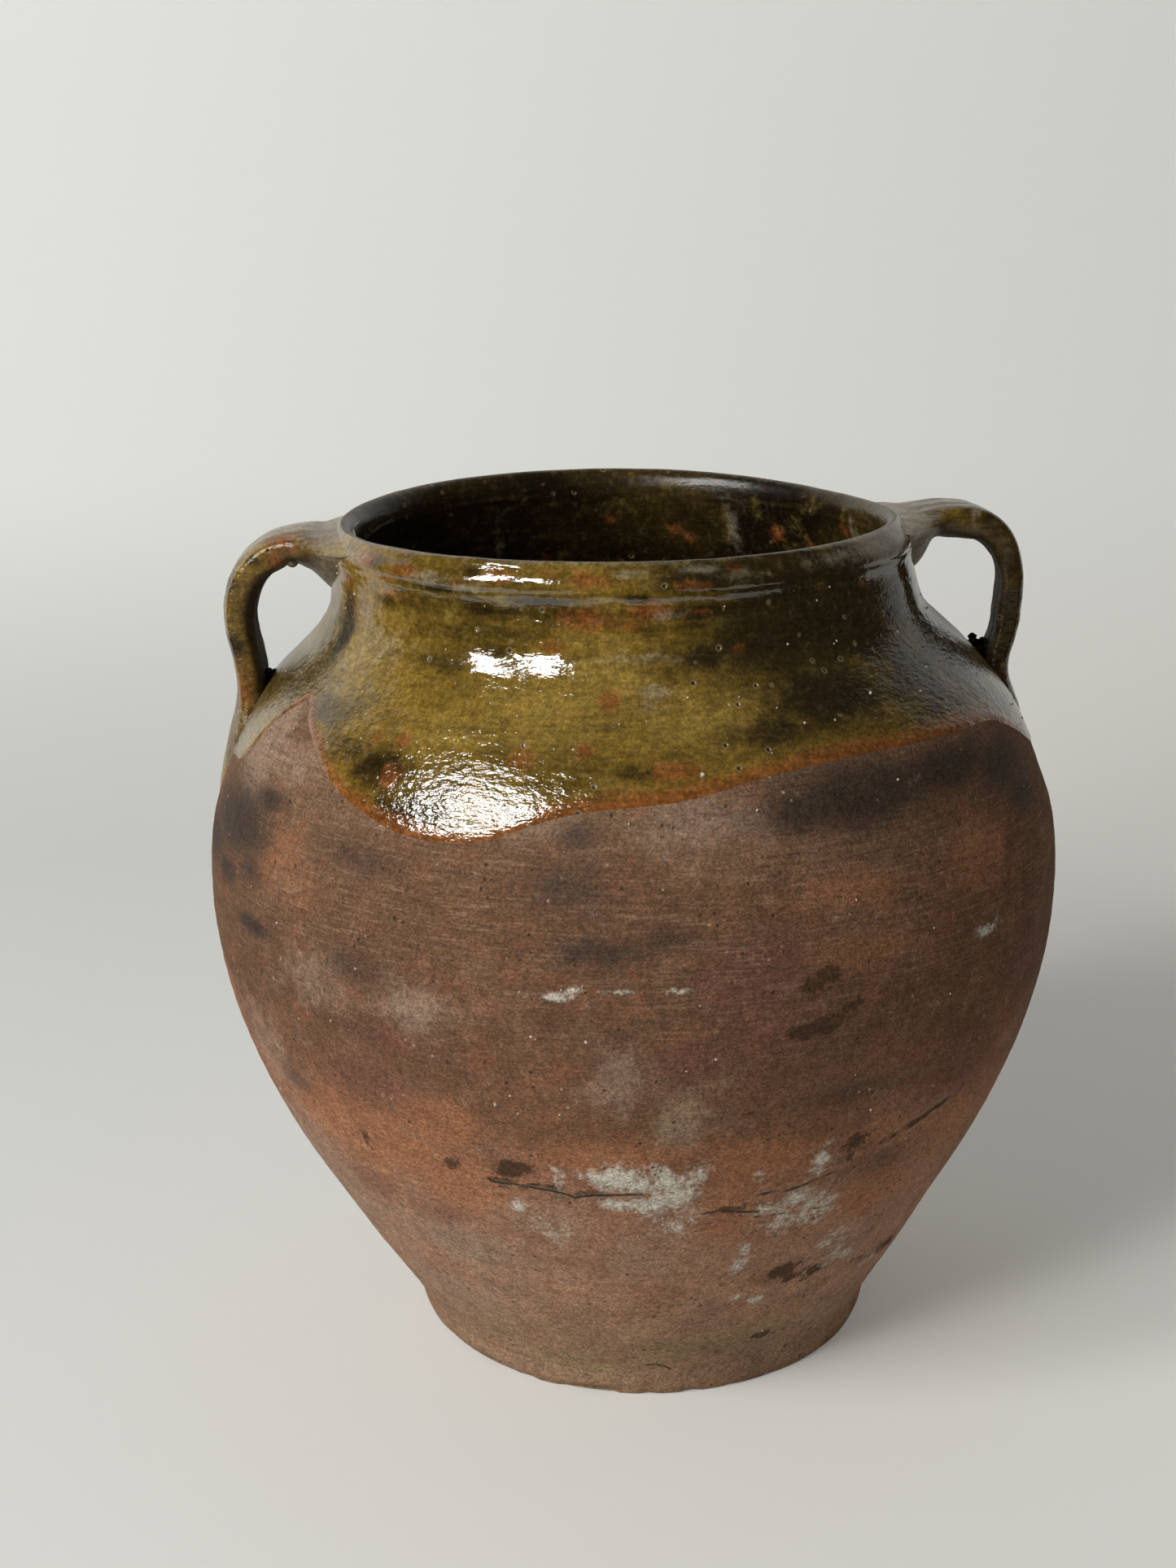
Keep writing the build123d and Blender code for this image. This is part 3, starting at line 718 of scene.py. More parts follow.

# Marks on the straps: degrees round the section, from 0 at the back edge over the outer face at 90
# to the front edge at 180, then the share of the strap's length, the half widths and the strength
# The shade marks at 262 degrees paint shade on the straps' inner faces, and the widest one on the right
# strap paints shade over it, on the side away from the lamps; the other shade marks darken the glaze
left_strap_marks = {
    "rust": ((140, 0.17, 55, 0.045, 0.95), (205, 0.22, 40, 0.035, 0.85), (150, 0.66, 50, 0.06, 0.85),
             (100, 0.47, 40, 0.03, 0.6), (170, 0.86, 30, 0.03, 0.5), (30, 0.3, 40, 0.04, 0.7),
             (330, 0.55, 40, 0.05, 0.6)),
    "film_and_highlight": ((120, 0.42, 22, 0.028, 1.1), (130, 0.05, 100, 0.05, 0.8), (120, 0.76, 90, 0.04, 0.7),
             (150, 0.12, 25, 0.02, 0.7), (60, 0.88, 60, 0.05, 0.7), (265, 0.07, 60, 0.03, 0.9)),
    "amber": ((150, 0.27, 70, 0.06, 0.8), (170, 0.47, 60, 0.06, 0.6), (100, 0.6, 60, 0.06, 0.6)),
    "shade": ((120, 0.36, 60, 0.04, 0.8), (150, 0.53, 50, 0.04, 0.9), (262, 0.42, 60, 0.3, 1.4),
              (170, 0.27, 30, 0.02, 0.8), (90, 0.6, 40, 0.03, 0.8)),
    "matt": ((265, 0.42, 75, 0.35, 1.3),),
}
right_strap_marks = {
    "rust": ((170, 0.68, 60, 0.05, 0.45), (60, 0.5, 40, 0.04, 0.4)),
    # The two small pale spots at 160 and 165 degrees are painted highlights
    "film_and_highlight": ((110, 0.05, 90, 0.045, 0.9), (160, 0.2, 16, 0.012, 0.9), (165, 0.66, 10, 0.01, 1),
             (70, 0.45, 30, 0.15, 0.4), (265, 0.07, 60, 0.03, 0.8)),
    "amber": ((160, 0.16, 60, 0.05, 0.7), (150, 0.4, 40, 0.08, 0.5)),
    "shade": ((180, 0.5, 300, 0.45, 0.8), (262, 0.42, 60, 0.3, 1.4), (180, 0.7, 90, 0.08, 1.1),
              (150, 0.62, 60, 0.1, 0.9)),
    "matt": ((265, 0.42, 75, 0.35, 1.3),),
}


def strap(side, turn_of_strap, bends, twist, kinds, seed):
    """A pulled strap: a rounded section carried along the arch. Its sides are a blunt oval, each
    coordinate a power of a sine, that thins to feathered sides where it is wiped onto the jar, and
    there it bends round the jar as a circle of its own radius does. Its upright part is twisted,
    and its root never comes through the wall to the inside. The pull left ridges along it."""
    stations = np.array(strap_stations)
    knots = run_of(stations[:, :2])
    along = np.linspace(0, knots[-1], 190)
    share = along[:, None] / knots[-1]
    bends = np.array(bends)
    out_by, up_by, thicker = [cubic(bends[:, 0], bends[:, column], share) * mm for column in (1, 2, 3)]
    radius, height, half_width, over, under, wrap, thin = [
        cubic(knots, stations[:, column], along)[:, None] * (mm if column < 5 else 1) for column in range(7)
    ]
    radius, height, under = radius + out_by, height + up_by, under + thicker
    wrap, thin = np.clip(wrap, 0, 1), np.clip(thin, 0, 1)
    slope = np.stack([np.gradient(radius[:, 0]), np.gradient(height[:, 0])])
    slope /= np.linalg.norm(slope, axis=0)
    round_it = np.linspace(0, 360, 96, endpoint=False)
    cosine, sine = np.cos(np.radians(round_it)), np.sin(np.radians(round_it))
    blunt, ridge_pitch, wall_cover = 0.56, 9.5 * mm, 2.5 * mm
    thick = np.where(sine > 0, over, -under)
    feather = np.where(sine > 0, 2.2, 4.0)
    sideways = np.sign(cosine) * np.abs(cosine) ** (blunt + (1 - blunt) * thin) * half_width
    upright = thick * np.abs(sine) ** (blunt + (feather - blunt) * thin)
    pulled = 0.20 * np.cos(2 * np.pi * sideways / ridge_pitch + seed) * np.abs(sine) ** 0.5
    uneven = 0.34 * grain(round_it, share, 5, 0.11, seed)
    uneven = uneven + 0.16 * grain(round_it, share, 16, 0.03, seed + 1)
    stroke = 0.07 * grain(round_it, share, 34, 0.09, seed + 3)
    fullness = np.clip(np.abs(thick) / (4 * mm), 0, 1) * np.abs(sine) ** 0.7
    upright = upright + np.sign(sine) * (pulled + uneven + stroke) * mm * fullness
    sideways = sideways + np.sign(cosine) * np.abs(cosine) * 0.6 * mm * grain(0, share, 3, 0.09, seed + 2)
    twist_start, twist_end = 0.24, 0.82
    twisted = sideways * math.tan(math.radians(twist)) * ease((share - twist_start) / 0.16)
    upright = upright + twisted * ease((twist_end - share) / 0.2)
    out = radius - upright * slope[1][:, None]
    up = height + upright * slope[0][:, None]
    out = out - wrap * (radius - np.sqrt(np.maximum(radius**2 - sideways**2, 0)))
    swing = turn_of_strap + np.degrees(np.arctan2(side * sideways, out))
    inmost = radius_at(down_run(up)) + wall_cover
    points = place(swing, np.maximum(np.hypot(out, sideways), inmost), up)
    marks = marks_over(round_it, share, kinds)
    marks["over_edge"] = 9 + 19 * ease(np.minimum(share / 0.06, (1 - share) / 0.14)) + 0 * sine
    name = "left" if side < 0 else "right"
    piece = net(name + "_strap", points, capped=(True, True), marks=marks)
    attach(piece, "root")
    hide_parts(name + "_handle", name + "_handle_glaze", name + "_rim_pad", name + "_shoulder_tail")
    return piece


# Small things stuck to the jar: turn, level, then radius over the wall and size in millimetres

glaze_grains = (
    (8.4, 0.803, 0.75), (40, 0.852, 0.55), (16.5, 0.865, 0.4), (21.9, 0.853, 0.4), (25.3, 0.838, 0.4),
    (-1.5, 0.762, 0.35), (-10, 0.885, 0.35), (-3, 0.846, 0.35), (-20, 0.835, 0.3), (-31, 0.872, 0.3),
)
clay_grains = (
    (-13, 0.547, 0.45), (-6.5, 0.545, 0.55), (-18, 0.462, 0.6), (-16, 0.475, 0.35), (-10, 0.457, 0.35),
    (8.5, 0.523, 0.45), (30, 0.43, 0.45), (-41, 0.52, 0.4),
)


def turned(width, height, columns):
    """Points round an upright axis, for each row of widths and heights."""
    around = np.radians(np.linspace(0, 360, columns, endpoint=False))
    return np.stack([width * np.cos(around), width * np.sin(around), height + 0 * around], axis=-1)


def ball(rows, columns):
    """Directions over a sphere, rows from near the top to near the bottom."""
    down = np.radians(np.linspace(14, 166, rows))[:, None]
    return turned(np.sin(down), np.cos(down), columns)


def lumps(name, middle, size, uneven, rows, columns, draw):
    """Rough little balls round their middles: each corner's distance from the middle is the size,
    changed by up to the uneven share."""
    rough = 1 + uneven * draw.uniform(-1, 1, (len(size), rows, columns, 1))
    points = middle[:, None, None] + ball(rows, columns) * rough * size[:, None, None, None]
    return net(name, points, capped=(True, True))


def grains(name, placed, count, seed, levels, out):
    """Grains of grit half sunk in the surface, as rough little balls: those that the photograph
    shows and others strewn round the jar."""
    draw = np.random.default_rng(seed)
    extra = np.stack([
        draw.uniform(-180, 180, count), draw.uniform(*levels, count), draw.uniform(0.2, 0.42, count),
    ], axis=-1)
    turn, level, size = np.vstack([np.array(placed), extra]).T
    piece = lumps(name, skin(turn, up_run(level * jar_height), out), size * mm, 0.28, 5, 8, draw)
    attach(piece, "root")
    return piece


def crumbs(name, turn, radius, height, reach, count, seed):
    """A clot of dark kiln crumbs in the crook of a strap: rough lumps of falling size heaped
    round its middle."""
    draw = np.random.default_rng(seed)
    size = np.linspace(1.7, 0.6, count) * mm
    aside = draw.normal(0, 0.42, (count, 3)) * np.array(reach) * mm
    middle = place(turn + np.degrees(aside[:, 1] / radius), radius + aside[:, 0], height + aside[:, 2])
    piece = lumps(name, middle, size, 0.30, 7, 11, draw)
    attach(piece, "root")
    return piece


def drip(turn, radius, height, wide, long):
    """A drip of glaze that hangs from a strap: half of a ball, so wide and so long."""
    down = np.linspace(0, 1, 18)[:, None]
    width = wide * np.sqrt(np.maximum(1 - down**2, 0.0004))
    points = place(turn, radius, height) + turned(width, -long * down, 20)
    marks = {"over_edge": 40.0, "rust": 0.2, "shade": 0.0, "amber": 0.4, "film_and_highlight": 0.5}
    piece = net("glaze_drip", points, capped=(True, True), marks=marks)
    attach(piece, "root")
    return piece


clay_pieces = [
    foot(),
    wall("lower_body", slab_height, join_height, 84, "lower_wall"),
    wall("upper_body", join_height, fold_height, 140, "upper_wall"),
    rim(),
]
glaze_coat = pour()
glaze_lining = lining()
left_strap = strap(-1, left_turn, left_bends, 0.0, left_strap_marks, 61)
right_strap = strap(1, right_turn, right_bends, 13.0, right_strap_marks, 71)
glaze_drip = drip(left_turn + 4.5, 114.5 * mm, 288.9 * mm, 2.5 * mm, 3.4 * mm)
pale_grit = [
    grains("glaze_grit", glaze_grains, 130, 81, (0.76, 0.97), glaze_thickness),
    grains("clay_grit", clay_grains, 60, 82, (0.08, 0.68), 0.0),
]
dark_crumbs = [
    crumbs("left_crumbs", left_turn, 127.5 * mm, 242.5 * mm, (3.0, 4.5, 2.4), 22, 91),
    crumbs("right_crumbs", right_turn, 127 * mm, 245.4 * mm, (7.0, 6.0, 2.5), 54, 92),
]


# Materials


class Finish:
    """A node material in the making. Most methods add nodes and give their output, while paint and
    fleck change the colour made so far."""

    def __init__(self, name, color=None):
        self.material = bpy.data.materials.new(name)
        self.material.use_nodes = True
        self.nodes = self.material.node_tree.nodes
        self.links = self.material.node_tree.links
        self.surface = self.nodes["Principled BSDF"]
        self.spot = self.nodes.new("ShaderNodeTexCoord").outputs["Object"]
        self.color = color

    def set(self, socket, value):
        """Link an output to a socket, or set a number or a colour on it."""
        if isinstance(value, bpy.types.NodeSocket):
            self.links.new(value, socket)
        elif hasattr(socket.default_value, "__len__") and len(socket.default_value) == 4:
            socket.default_value = (*value, 1.0)
        else:
            socket.default_value = value

    def mark(self, name):
        """The mark of this name that the piece's corners carry."""
        node = self.nodes.new("ShaderNodeAttribute")
        node.attribute_name = name
        return node.outputs["Fac"]

    def sums(self, operation, first, second=0.0, clamp=False):
        """One step of arithmetic."""
        node = self.nodes.new("ShaderNodeMath")
        node.operation = operation
        node.use_clamp = clamp
        self.set(node.inputs[0], first)
        self.set(node.inputs[1], second)
        return node.outputs[0]

    def about_zero(self, noise, amount):
        """The noise less a half, times an amount."""
        return self.sums("MULTIPLY", self.sums("SUBTRACT", noise, 0.5), amount)

    def along(self, axis):
        """The place along an axis, in metres."""
        node = self.nodes.new("ShaderNodeSeparateXYZ")
        self.links.new(self.spot, node.inputs[0])
        return node.outputs[axis]

    def noise(self, size, detail=3.0, rough=0.55, stretch=(1, 1, 1)):
        """Noise from 0 to 1 with features about as large as the size, and flatter along an axis
        that has a larger stretch."""
        mapping = self.nodes.new("ShaderNodeMapping")
        self.links.new(self.spot, mapping.inputs["Vector"])
        mapping.inputs["Scale"].default_value = stretch
        node = self.nodes.new("ShaderNodeTexNoise")
        self.links.new(mapping.outputs["Vector"], node.inputs["Vector"])
        node.inputs["Scale"].default_value = 1 / size
        node.inputs["Detail"].default_value = detail
        node.inputs["Roughness"].default_value = rough
        return node.outputs["Fac"]

    def cells(self, size):
        """Distance from the nearest of the points strewn about a size apart, in that size."""
        node = self.nodes.new("ShaderNodeTexVoronoi")
        self.links.new(self.spot, node.inputs["Vector"])
        node.inputs["Scale"].default_value = 1 / size
        return node.outputs["Distance"]

    def steps(self, value, low, high, first=0.0, last=1.0):
        """A smooth step from first to last as the value goes from low to high."""
        node = self.nodes.new("ShaderNodeMapRange")
        node.interpolation_type = "SMOOTHSTEP"
        for socket, number in zip(node.inputs, (value, low, high, first, last)):
            self.set(socket, number)
        return node.outputs["Result"]

    def ragged(self, name, noise, fray, soft, at=0.5):
        """A mark with a frayed edge: noise is added before a smooth step about a level."""
        frayed = self.sums("ADD", self.mark(name), self.about_zero(noise, fray))
        return self.steps(frayed, at - soft, at + soft)

    def mix(self, share, first, second, way="MIX"):
        """Two colours mixed by a share, or multiplied."""
        node = self.nodes.new("ShaderNodeMix")
        node.data_type = "RGBA"
        node.blend_type = way
        self.set(node.inputs["Factor"], share)
        self.set(node.inputs[6], first)
        self.set(node.inputs[7], second)
        return node.outputs[2]

    def ramp(self, value, stops):
        """The colour at a value between stops."""
        node = self.nodes.new("ShaderNodeValToRGB")
        self.links.new(value, node.inputs["Fac"])
        ramp = node.color_ramp
        while len(ramp.elements) < len(stops):
            ramp.elements.new(1.0)
        for element, (position, color) in zip(ramp.elements, stops):
            element.position = position
            element.color = (*color, 1.0)
        return node.outputs["Color"]

    def paint(self, tint, share, strength=None):
        """Lay a tint over the colour so far, by a share or by a share times a strength."""
        if strength is not None:
            share = self.sums("MULTIPLY", share, strength)
        self.color = self.mix(share, self.color, tint)

    def fleck(self, noise, darkest, lightest):
        """Multiply the colour so far by a factor that rises from darkest to lightest with the
        noise."""
        factor = self.steps(noise, 0.36, 0.64, darkest, lightest)
        self.color = self.mix(1.0, self.color, factor, "MULTIPLY")

    def relief(self, *layers):
        """Bumps one on another: each a height from 0 to 1 and its depth in metres."""
        normal = None
        for height, depth in layers:
            node = self.nodes.new("ShaderNodeBump")
            node.inputs["Distance"].default_value = depth
            self.links.new(height, node.inputs["Height"])
            if normal is not None:
                self.links.new(normal, node.inputs["Normal"])
            normal = node.outputs["Normal"]
        self.links.new(normal, self.surface.inputs["Normal"])


def fired_clay():
    """Red earthenware: bands of fired colour up the wall, blotches, smoke, lime, stains, cracks,
    grog and the brush's lines."""
    clay = Finish("fired_clay")
    blotch = clay.noise(0.030, 5, 0.65)
    cloud = clay.noise(0.075, 3, 0.5)
    mottle = clay.noise(0.0095, 5, 0.7)
    crumb = clay.noise(0.0046, 5, 0.7)
    fleck = clay.noise(0.0022, 4, 0.75)
    grit = clay.noise(0.0010, 2, 0.8, (1, 1, 1.5))
    brush = clay.noise(0.024, 4, 0.65, (1, 1, 15))
    fine_brush = clay.noise(0.014, 3, 0.6, (1, 1, 17))
    reddish = clay.noise(0.017, 5, 0.7, (1, 1, 1.4))
    level = clay.sums("DIVIDE", clay.along("Z"), jar_height)
    clay.color = clay.ramp(clay.sums("ADD", level, clay.about_zero(cloud, 0.16)), (
        (0.00, (0.285, 0.180, 0.108)), (0.09, (0.330, 0.198, 0.118)), (0.16, (0.360, 0.207, 0.128)),
        (0.29, (0.345, 0.182, 0.110)), (0.38, (0.272, 0.130, 0.072)), (0.43, (0.175, 0.085, 0.045)),
        (0.52, (0.122, 0.062, 0.034)), (0.68, (0.130, 0.067, 0.035)), (0.78, (0.148, 0.085, 0.047)),
    ))
    clay.paint((0.110, 0.060, 0.038), clay.steps(blotch, 0.50, 0.75, 0, 0.50))
    clay.paint((0.270, 0.150, 0.090), clay.steps(blotch, 0.46, 0.25, 0, 0.45))
    clay.paint((0.230, 0.088, 0.045), clay.steps(reddish, 0.50, 0.66, 0, 0.42))
    veil = clay.steps(clay.noise(0.021, 5, 0.72, (1, 1, 1.7)), 0.49, 0.66, 0, 0.60)
    clay.paint((0.235, 0.150, 0.108), veil, clay.steps(level, 0.56, 0.36))
    # Warm, plum and bloom patches are the clay's own; the pale dusty patches near turn -60 are partly
    # painted light on the lit left side
    for name, noise, fray, soft, strength, tint in (
        ("warm", blotch, 1.1, 0.30, 0.62, (0.330, 0.140, 0.066)),
        ("plum", blotch, 1.1, 0.35, 0.50, (0.150, 0.060, 0.046)),
        ("dust_and_light", mottle, 1.3, 0.45, 0.62, (0.300, 0.215, 0.158)),
        ("bloom", mottle, 1.2, 0.40, 0.50, (0.240, 0.185, 0.100)),
    ):
        clay.paint(tint, clay.ragged(name, noise, fray, soft), strength)
    brushed = clay.steps(level, 0.46, 0.66, 0.15, 1.0)
    clay.paint((0.085, 0.047, 0.030), clay.steps(brush, 0.50, 0.76, 0, 0.8), brushed)
    clay.paint((0.235, 0.138, 0.088), clay.steps(fine_brush, 0.50, 0.32, 0, 0.62), brushed)
    soot = clay.ragged("soot", mottle, 1.3, 0.45)
    clay.paint((0.042, 0.027, 0.019), soot, 0.93)
    clay.paint((0.055, 0.028, 0.014), clay.ragged("stain", crumb, 3.2, 0.25, 0.55), 0.88)
    clay.fleck(mottle, 0.90, 1.10)
    clay.fleck(crumb, 0.95, 1.05)
    chalk = clay.mark("lime")
    for noise, amount in ((crumb, 1.7), (mottle, 1.3), (fleck, 1.0)):
        chalk = clay.sums("ADD", chalk, clay.about_zero(noise, amount))
    lime = clay.steps(chalk, 0.30, 1.15)
    clay.paint((0.560, 0.530, 0.450), lime, 0.88)
    clay.fleck(fleck, 0.84, 1.17)
    clay.fleck(grit, 0.70, 1.34)
    grog = clay.steps(clay.cells(0.0052), 0.14, 0.06)
    grog = clay.sums("MULTIPLY", grog, clay.steps(clay.noise(0.011, 2), 0.56, 0.66))
    clay.paint((0.480, 0.370, 0.260), grog, 0.70)
    pits = clay.steps(clay.cells(0.0037), 0.22, 0.08)
    pits = clay.sums("MULTIPLY", pits, clay.steps(clay.noise(0.008, 2), 0.53, 0.64))
    clay.paint((0.034, 0.020, 0.013), pits, 0.75)
    away = clay.sums("ABSOLUTE", clay.sums("ADD", clay.mark("crack"), clay.about_zero(crumb, 3.6)))
    broken = clay.steps(clay.noise(0.006, 3), 0.43, 0.56, 0.05, 1.0)
    crack = clay.sums("MULTIPLY", clay.steps(away, 1.5, 0.4), broken)
    clay.paint((0.330, 0.235, 0.160), clay.steps(away, 4.5, 1.2, 0, 0.35), broken)
    clay.paint((0.030, 0.017, 0.009), crack, 0.82)
    clay.set(clay.surface.inputs["Base Color"], clay.color)
    clay.set(clay.surface.inputs["Roughness"], clay.steps(soot, 0, 1, 0.86, 0.66))
    clay.surface.inputs["Specular IOR Level"].default_value = 0.18
    clay.relief(
        (clay.sums("SUBTRACT", 1.0, crack), 0.0008),
        (brush, 0.00030),
        (fine_brush, 0.00022),
        (crumb, 0.00040),
        (fleck, 0.00032),
        (clay.sums("SUBTRACT", 1.0, pits), 0.0004),
        (lime, 0.00015),
    )
    return clay.material


def olive_glaze(name, olive, dark, amber, gloss, bending):
    """Glossy lead-type glaze: mottled olive, dark where it pooled, rust where it ran thin or iron
    came through, with pinholes, crumbs and an orange-peel skin that is coarser near its edge."""
    glaze = Finish(name, olive)
    mottle = glaze.noise(0.011, 6, 0.68)
    cloud = glaze.noise(0.040, 3, 0.5)
    crumb = glaze.noise(0.0042, 5, 0.7)
    fleck = glaze.noise(0.0021, 4, 0.75)
    grit = glaze.noise(0.0010, 2, 0.8)
    bands = glaze.noise(0.020, 4, 0.65, (1, 1, 5))
    streaks = glaze.noise(0.0085, 4, 0.7, (1, 1, 8))
    glaze.paint(dark, glaze.steps(cloud, 0.38, 0.62))
    glaze.paint(amber, glaze.ragged("amber", mottle, 1.1, 0.45), 0.85)
    glaze.paint((0.215, 0.148, 0.036), glaze.steps(mottle, 0.47, 0.30, 0, 0.40))
    # Near black under the shade mark: darker glaze in places, and painted shade on the right side, inside
    # the mouth on the left and on the straps' inner faces
    glaze.paint((0.011, 0.0065, 0.002), glaze.ragged("shade", mottle, 1.5, 0.45), 0.90)
    glaze.paint((0.034, 0.020, 0.004), glaze.steps(bands, 0.50, 0.74, 0, 0.48))
    edge = glaze.mark("over_edge")
    thin = glaze.steps(glaze.sums("ADD", edge, glaze.about_zero(mottle, 7.0)), 7.5, 0.8)
    rust = glaze.sums("MULTIPLY", glaze.ragged("rust", crumb, 1.0, 0.42, 0.62), 0.66)
    rusty = glaze.sums("MAXIMUM", glaze.sums("MULTIPLY", thin, 0.78), rust)
    glaze.paint(glaze.mix(crumb, (0.150, 0.042, 0.010), (0.262, 0.086, 0.024)), rusty)
    # Pale film, and on the right strap two small painted highlights
    film_and_highlight = glaze.ragged("film_and_highlight", crumb, 1.6, 0.45)
    glaze.paint((0.240, 0.205, 0.140), film_and_highlight, 0.42)
    glaze.fleck(crumb, 0.88, 1.12)
    glaze.fleck(fleck, 0.86, 1.17)
    glaze.fleck(grit, 0.80, 1.24)
    glaze.fleck(streaks, 0.86, 1.14)
    hole = glaze.cells(0.0062)
    scarce = glaze.steps(glaze.noise(0.010, 2), 0.52, 0.60)
    holes = glaze.sums("MULTIPLY", glaze.steps(hole, 0.14, 0.07), scarce)
    ring = glaze.sums("MULTIPLY", glaze.steps(hole, 0.24, 0.15), scarce)
    glaze.paint((0.280, 0.210, 0.100), ring, 0.45)
    glaze.paint((0.010, 0.006, 0.003), holes, 0.9)
    glaze.set(glaze.surface.inputs["Base Color"], glaze.color)
    dull = glaze.sums("MULTIPLY", film_and_highlight, 0.24)
    dull = glaze.sums("MAXIMUM", dull, glaze.steps(crumb, 0.50, 0.80, 0, 0.12))
    dull = glaze.sums("MAXIMUM", dull, glaze.sums("MULTIPLY", glaze.mark("matt"), 0.55, clamp=True))
    glaze.set(glaze.surface.inputs["Roughness"], glaze.sums("ADD", dull, gloss))
    glaze.surface.inputs["IOR"].default_value = bending
    near_edge = glaze.steps(edge, 62.0, 24.0, 0.20, 1.0)
    peel = glaze.noise(0.0034, 2, 0.6, (1, 1, 2.2))
    glaze.relief(
        (glaze.noise(0.009, 3, 0.5, (1, 1, 3.4)), 0.00032),
        (glaze.sums("MULTIPLY", peel, near_edge), 0.00044),
        (glaze.sums("MULTIPLY", fleck, near_edge), 0.00010),
        (glaze.sums("SUBTRACT", 1.0, holes), 0.00035),
    )
    return glaze.material


def plain(name, color, rough):
    """A plain rough surface with a faint mottle."""
    stuff = Finish(name, color)
    stuff.fleck(stuff.noise(0.0012, 3, 0.7), 0.7, 1.25)
    stuff.set(stuff.surface.inputs["Base Color"], stuff.color)
    stuff.surface.inputs["Roughness"].default_value = rough
    return stuff.material


clay_finish = fired_clay()
coat_finish = olive_glaze(
    "olive_glaze", olive=(0.184, 0.112, 0.017), dark=(0.100, 0.063, 0.010),
    amber=(0.236, 0.154, 0.031), gloss=0.07, bending=1.88,
)
strap_finish = olive_glaze(
    "strap_glaze", olive=(0.180, 0.110, 0.013), dark=(0.100, 0.052, 0.008),
    amber=(0.250, 0.158, 0.022), gloss=0.06, bending=1.47,
)
lining_finish = olive_glaze(
    "lining_glaze", olive=(0.040, 0.024, 0.005), dark=(0.008, 0.005, 0.002),
    amber=(0.060, 0.038, 0.008), gloss=0.30, bending=1.45,
)
grit_finish = plain("pale_grit", (0.520, 0.460, 0.360), 0.6)
crumb_finish = plain("kiln_crumbs", (0.016, 0.011, 0.008), 0.9)
for finish, pieces in (
    (clay_finish, clay_pieces), (coat_finish, (glaze_coat, glaze_drip)),
    (strap_finish, (left_strap, right_strap)), (lining_finish, (glaze_lining,)),
    (grit_finish, pale_grit), (crumb_finish, dark_crumbs),
):
    for piece in pieces:
        piece.data.materials.append(finish)


# Stage: a pale sweep of floor and wall, and black cards

sweep_front, sweep_back, sweep_bend, sweep_top, sweep_reach = -1.9, 1.15, 0.60, 2.4, 2.8


def flat_faces(name, vertices, faces, finish):
    """A new object of flat faces with one finish."""
    mesh = bpy.data.meshes.new(name)
    mesh.from_pydata(vertices, [], faces)
    mesh.materials.append(finish.material)
    return put_in_scene(name, mesh)


def sweep():
    """A pale sweep: flat from the front, a quarter circle up, then upright."""
    start, bend = sweep_back - sweep_bend, np.linspace(0, np.pi / 2, 24)
    way = [(sweep_front, 0.0)]
    way += [(start + sweep_bend * math.sin(a), sweep_bend * (1 - math.cos(a))) for a in bend]
    way += [(sweep_back, sweep_top)]
    vertices = [(x, y, z) for y, z in way for x in (-sweep_reach, sweep_reach)]
    faces = [(2 * i, 2 * i + 1, 2 * i + 3, 2 * i + 2) for i in range(len(way) - 1)]
    paper = Finish("pale_paper")
    path = paper.nodes.new("ShaderNodeLightPath")
    mirrored = paper.sums("MULTIPLY", path.outputs["Is Glossy Ray"], 0.06)
    seen = paper.sums("MULTIPLY", path.outputs["Is Camera Ray"], 0.12)
    upright = paper.steps(paper.sums("DIVIDE", paper.along("Z"), jar_height), 0.0, 0.6)
    # Painted light on the floor: lighter towards the right, darker towards the left
    painted_light_rightward = paper.steps(paper.along("X"), -0.35, 0.40)
    floor_color = paper.mix(painted_light_rightward, (0.622, 0.632, 0.622), (0.745, 0.745, 0.725))
    paper.set(paper.surface.inputs["Base Color"], paper.mix(upright, floor_color, (0.815, 0.835, 0.825)))
    paper.surface.inputs["Roughness"].default_value = 0.9
    paper.surface.inputs["Emission Color"].default_value = (0.98, 1.0, 0.96, 1)
    paper.set(paper.surface.inputs["Emission Strength"], paper.sums("MAXIMUM", seen, mirrored))
    piece = flat_faces("pale_sweep", vertices, faces, paper)
    piece.data.polygons.foreach_set("use_smooth", [True] * len(faces))


sweep()


def dark_cards():
    """Black cards upright round the front, low where the camera and the panes of light stand
    behind them, as photographers use them: only reflections show them."""
    corners = ((-0.62, 0.14), (-0.62, -0.12), (-0.62, -0.62), (0.50, -0.62), (0.50, 0.05))
    heights = (1.5, 0.36, 0.36, 1.5)
    vertices, faces = [], []
    for (x0, y0), (x1, y1), high in zip(corners, corners[1:], heights):
        faces.append([len(vertices) + corner for corner in range(4)])
        vertices += [(x0, y0, 0.0), (x1, y1, 0.0), (x1, y1, high), (x0, y0, high)]
    card = Finish("black_card")
    card.surface.inputs["Base Color"].default_value = (0.012, 0.011, 0.010, 1)
    card.surface.inputs["Roughness"].default_value = 1.0
    piece = flat_faces("dark_cards", vertices, faces, card)
    piece.visible_camera = piece.visible_diffuse = piece.visible_shadow = False


dark_cards()


def facing(right, above, back, where):
    """The matrix of a thing whose own axes point right, above and back, at a place."""
    matrix = np.eye(4)
    matrix[:3] = np.stack([right, above, back, where], axis=1)
    return matrix.T.tolist()


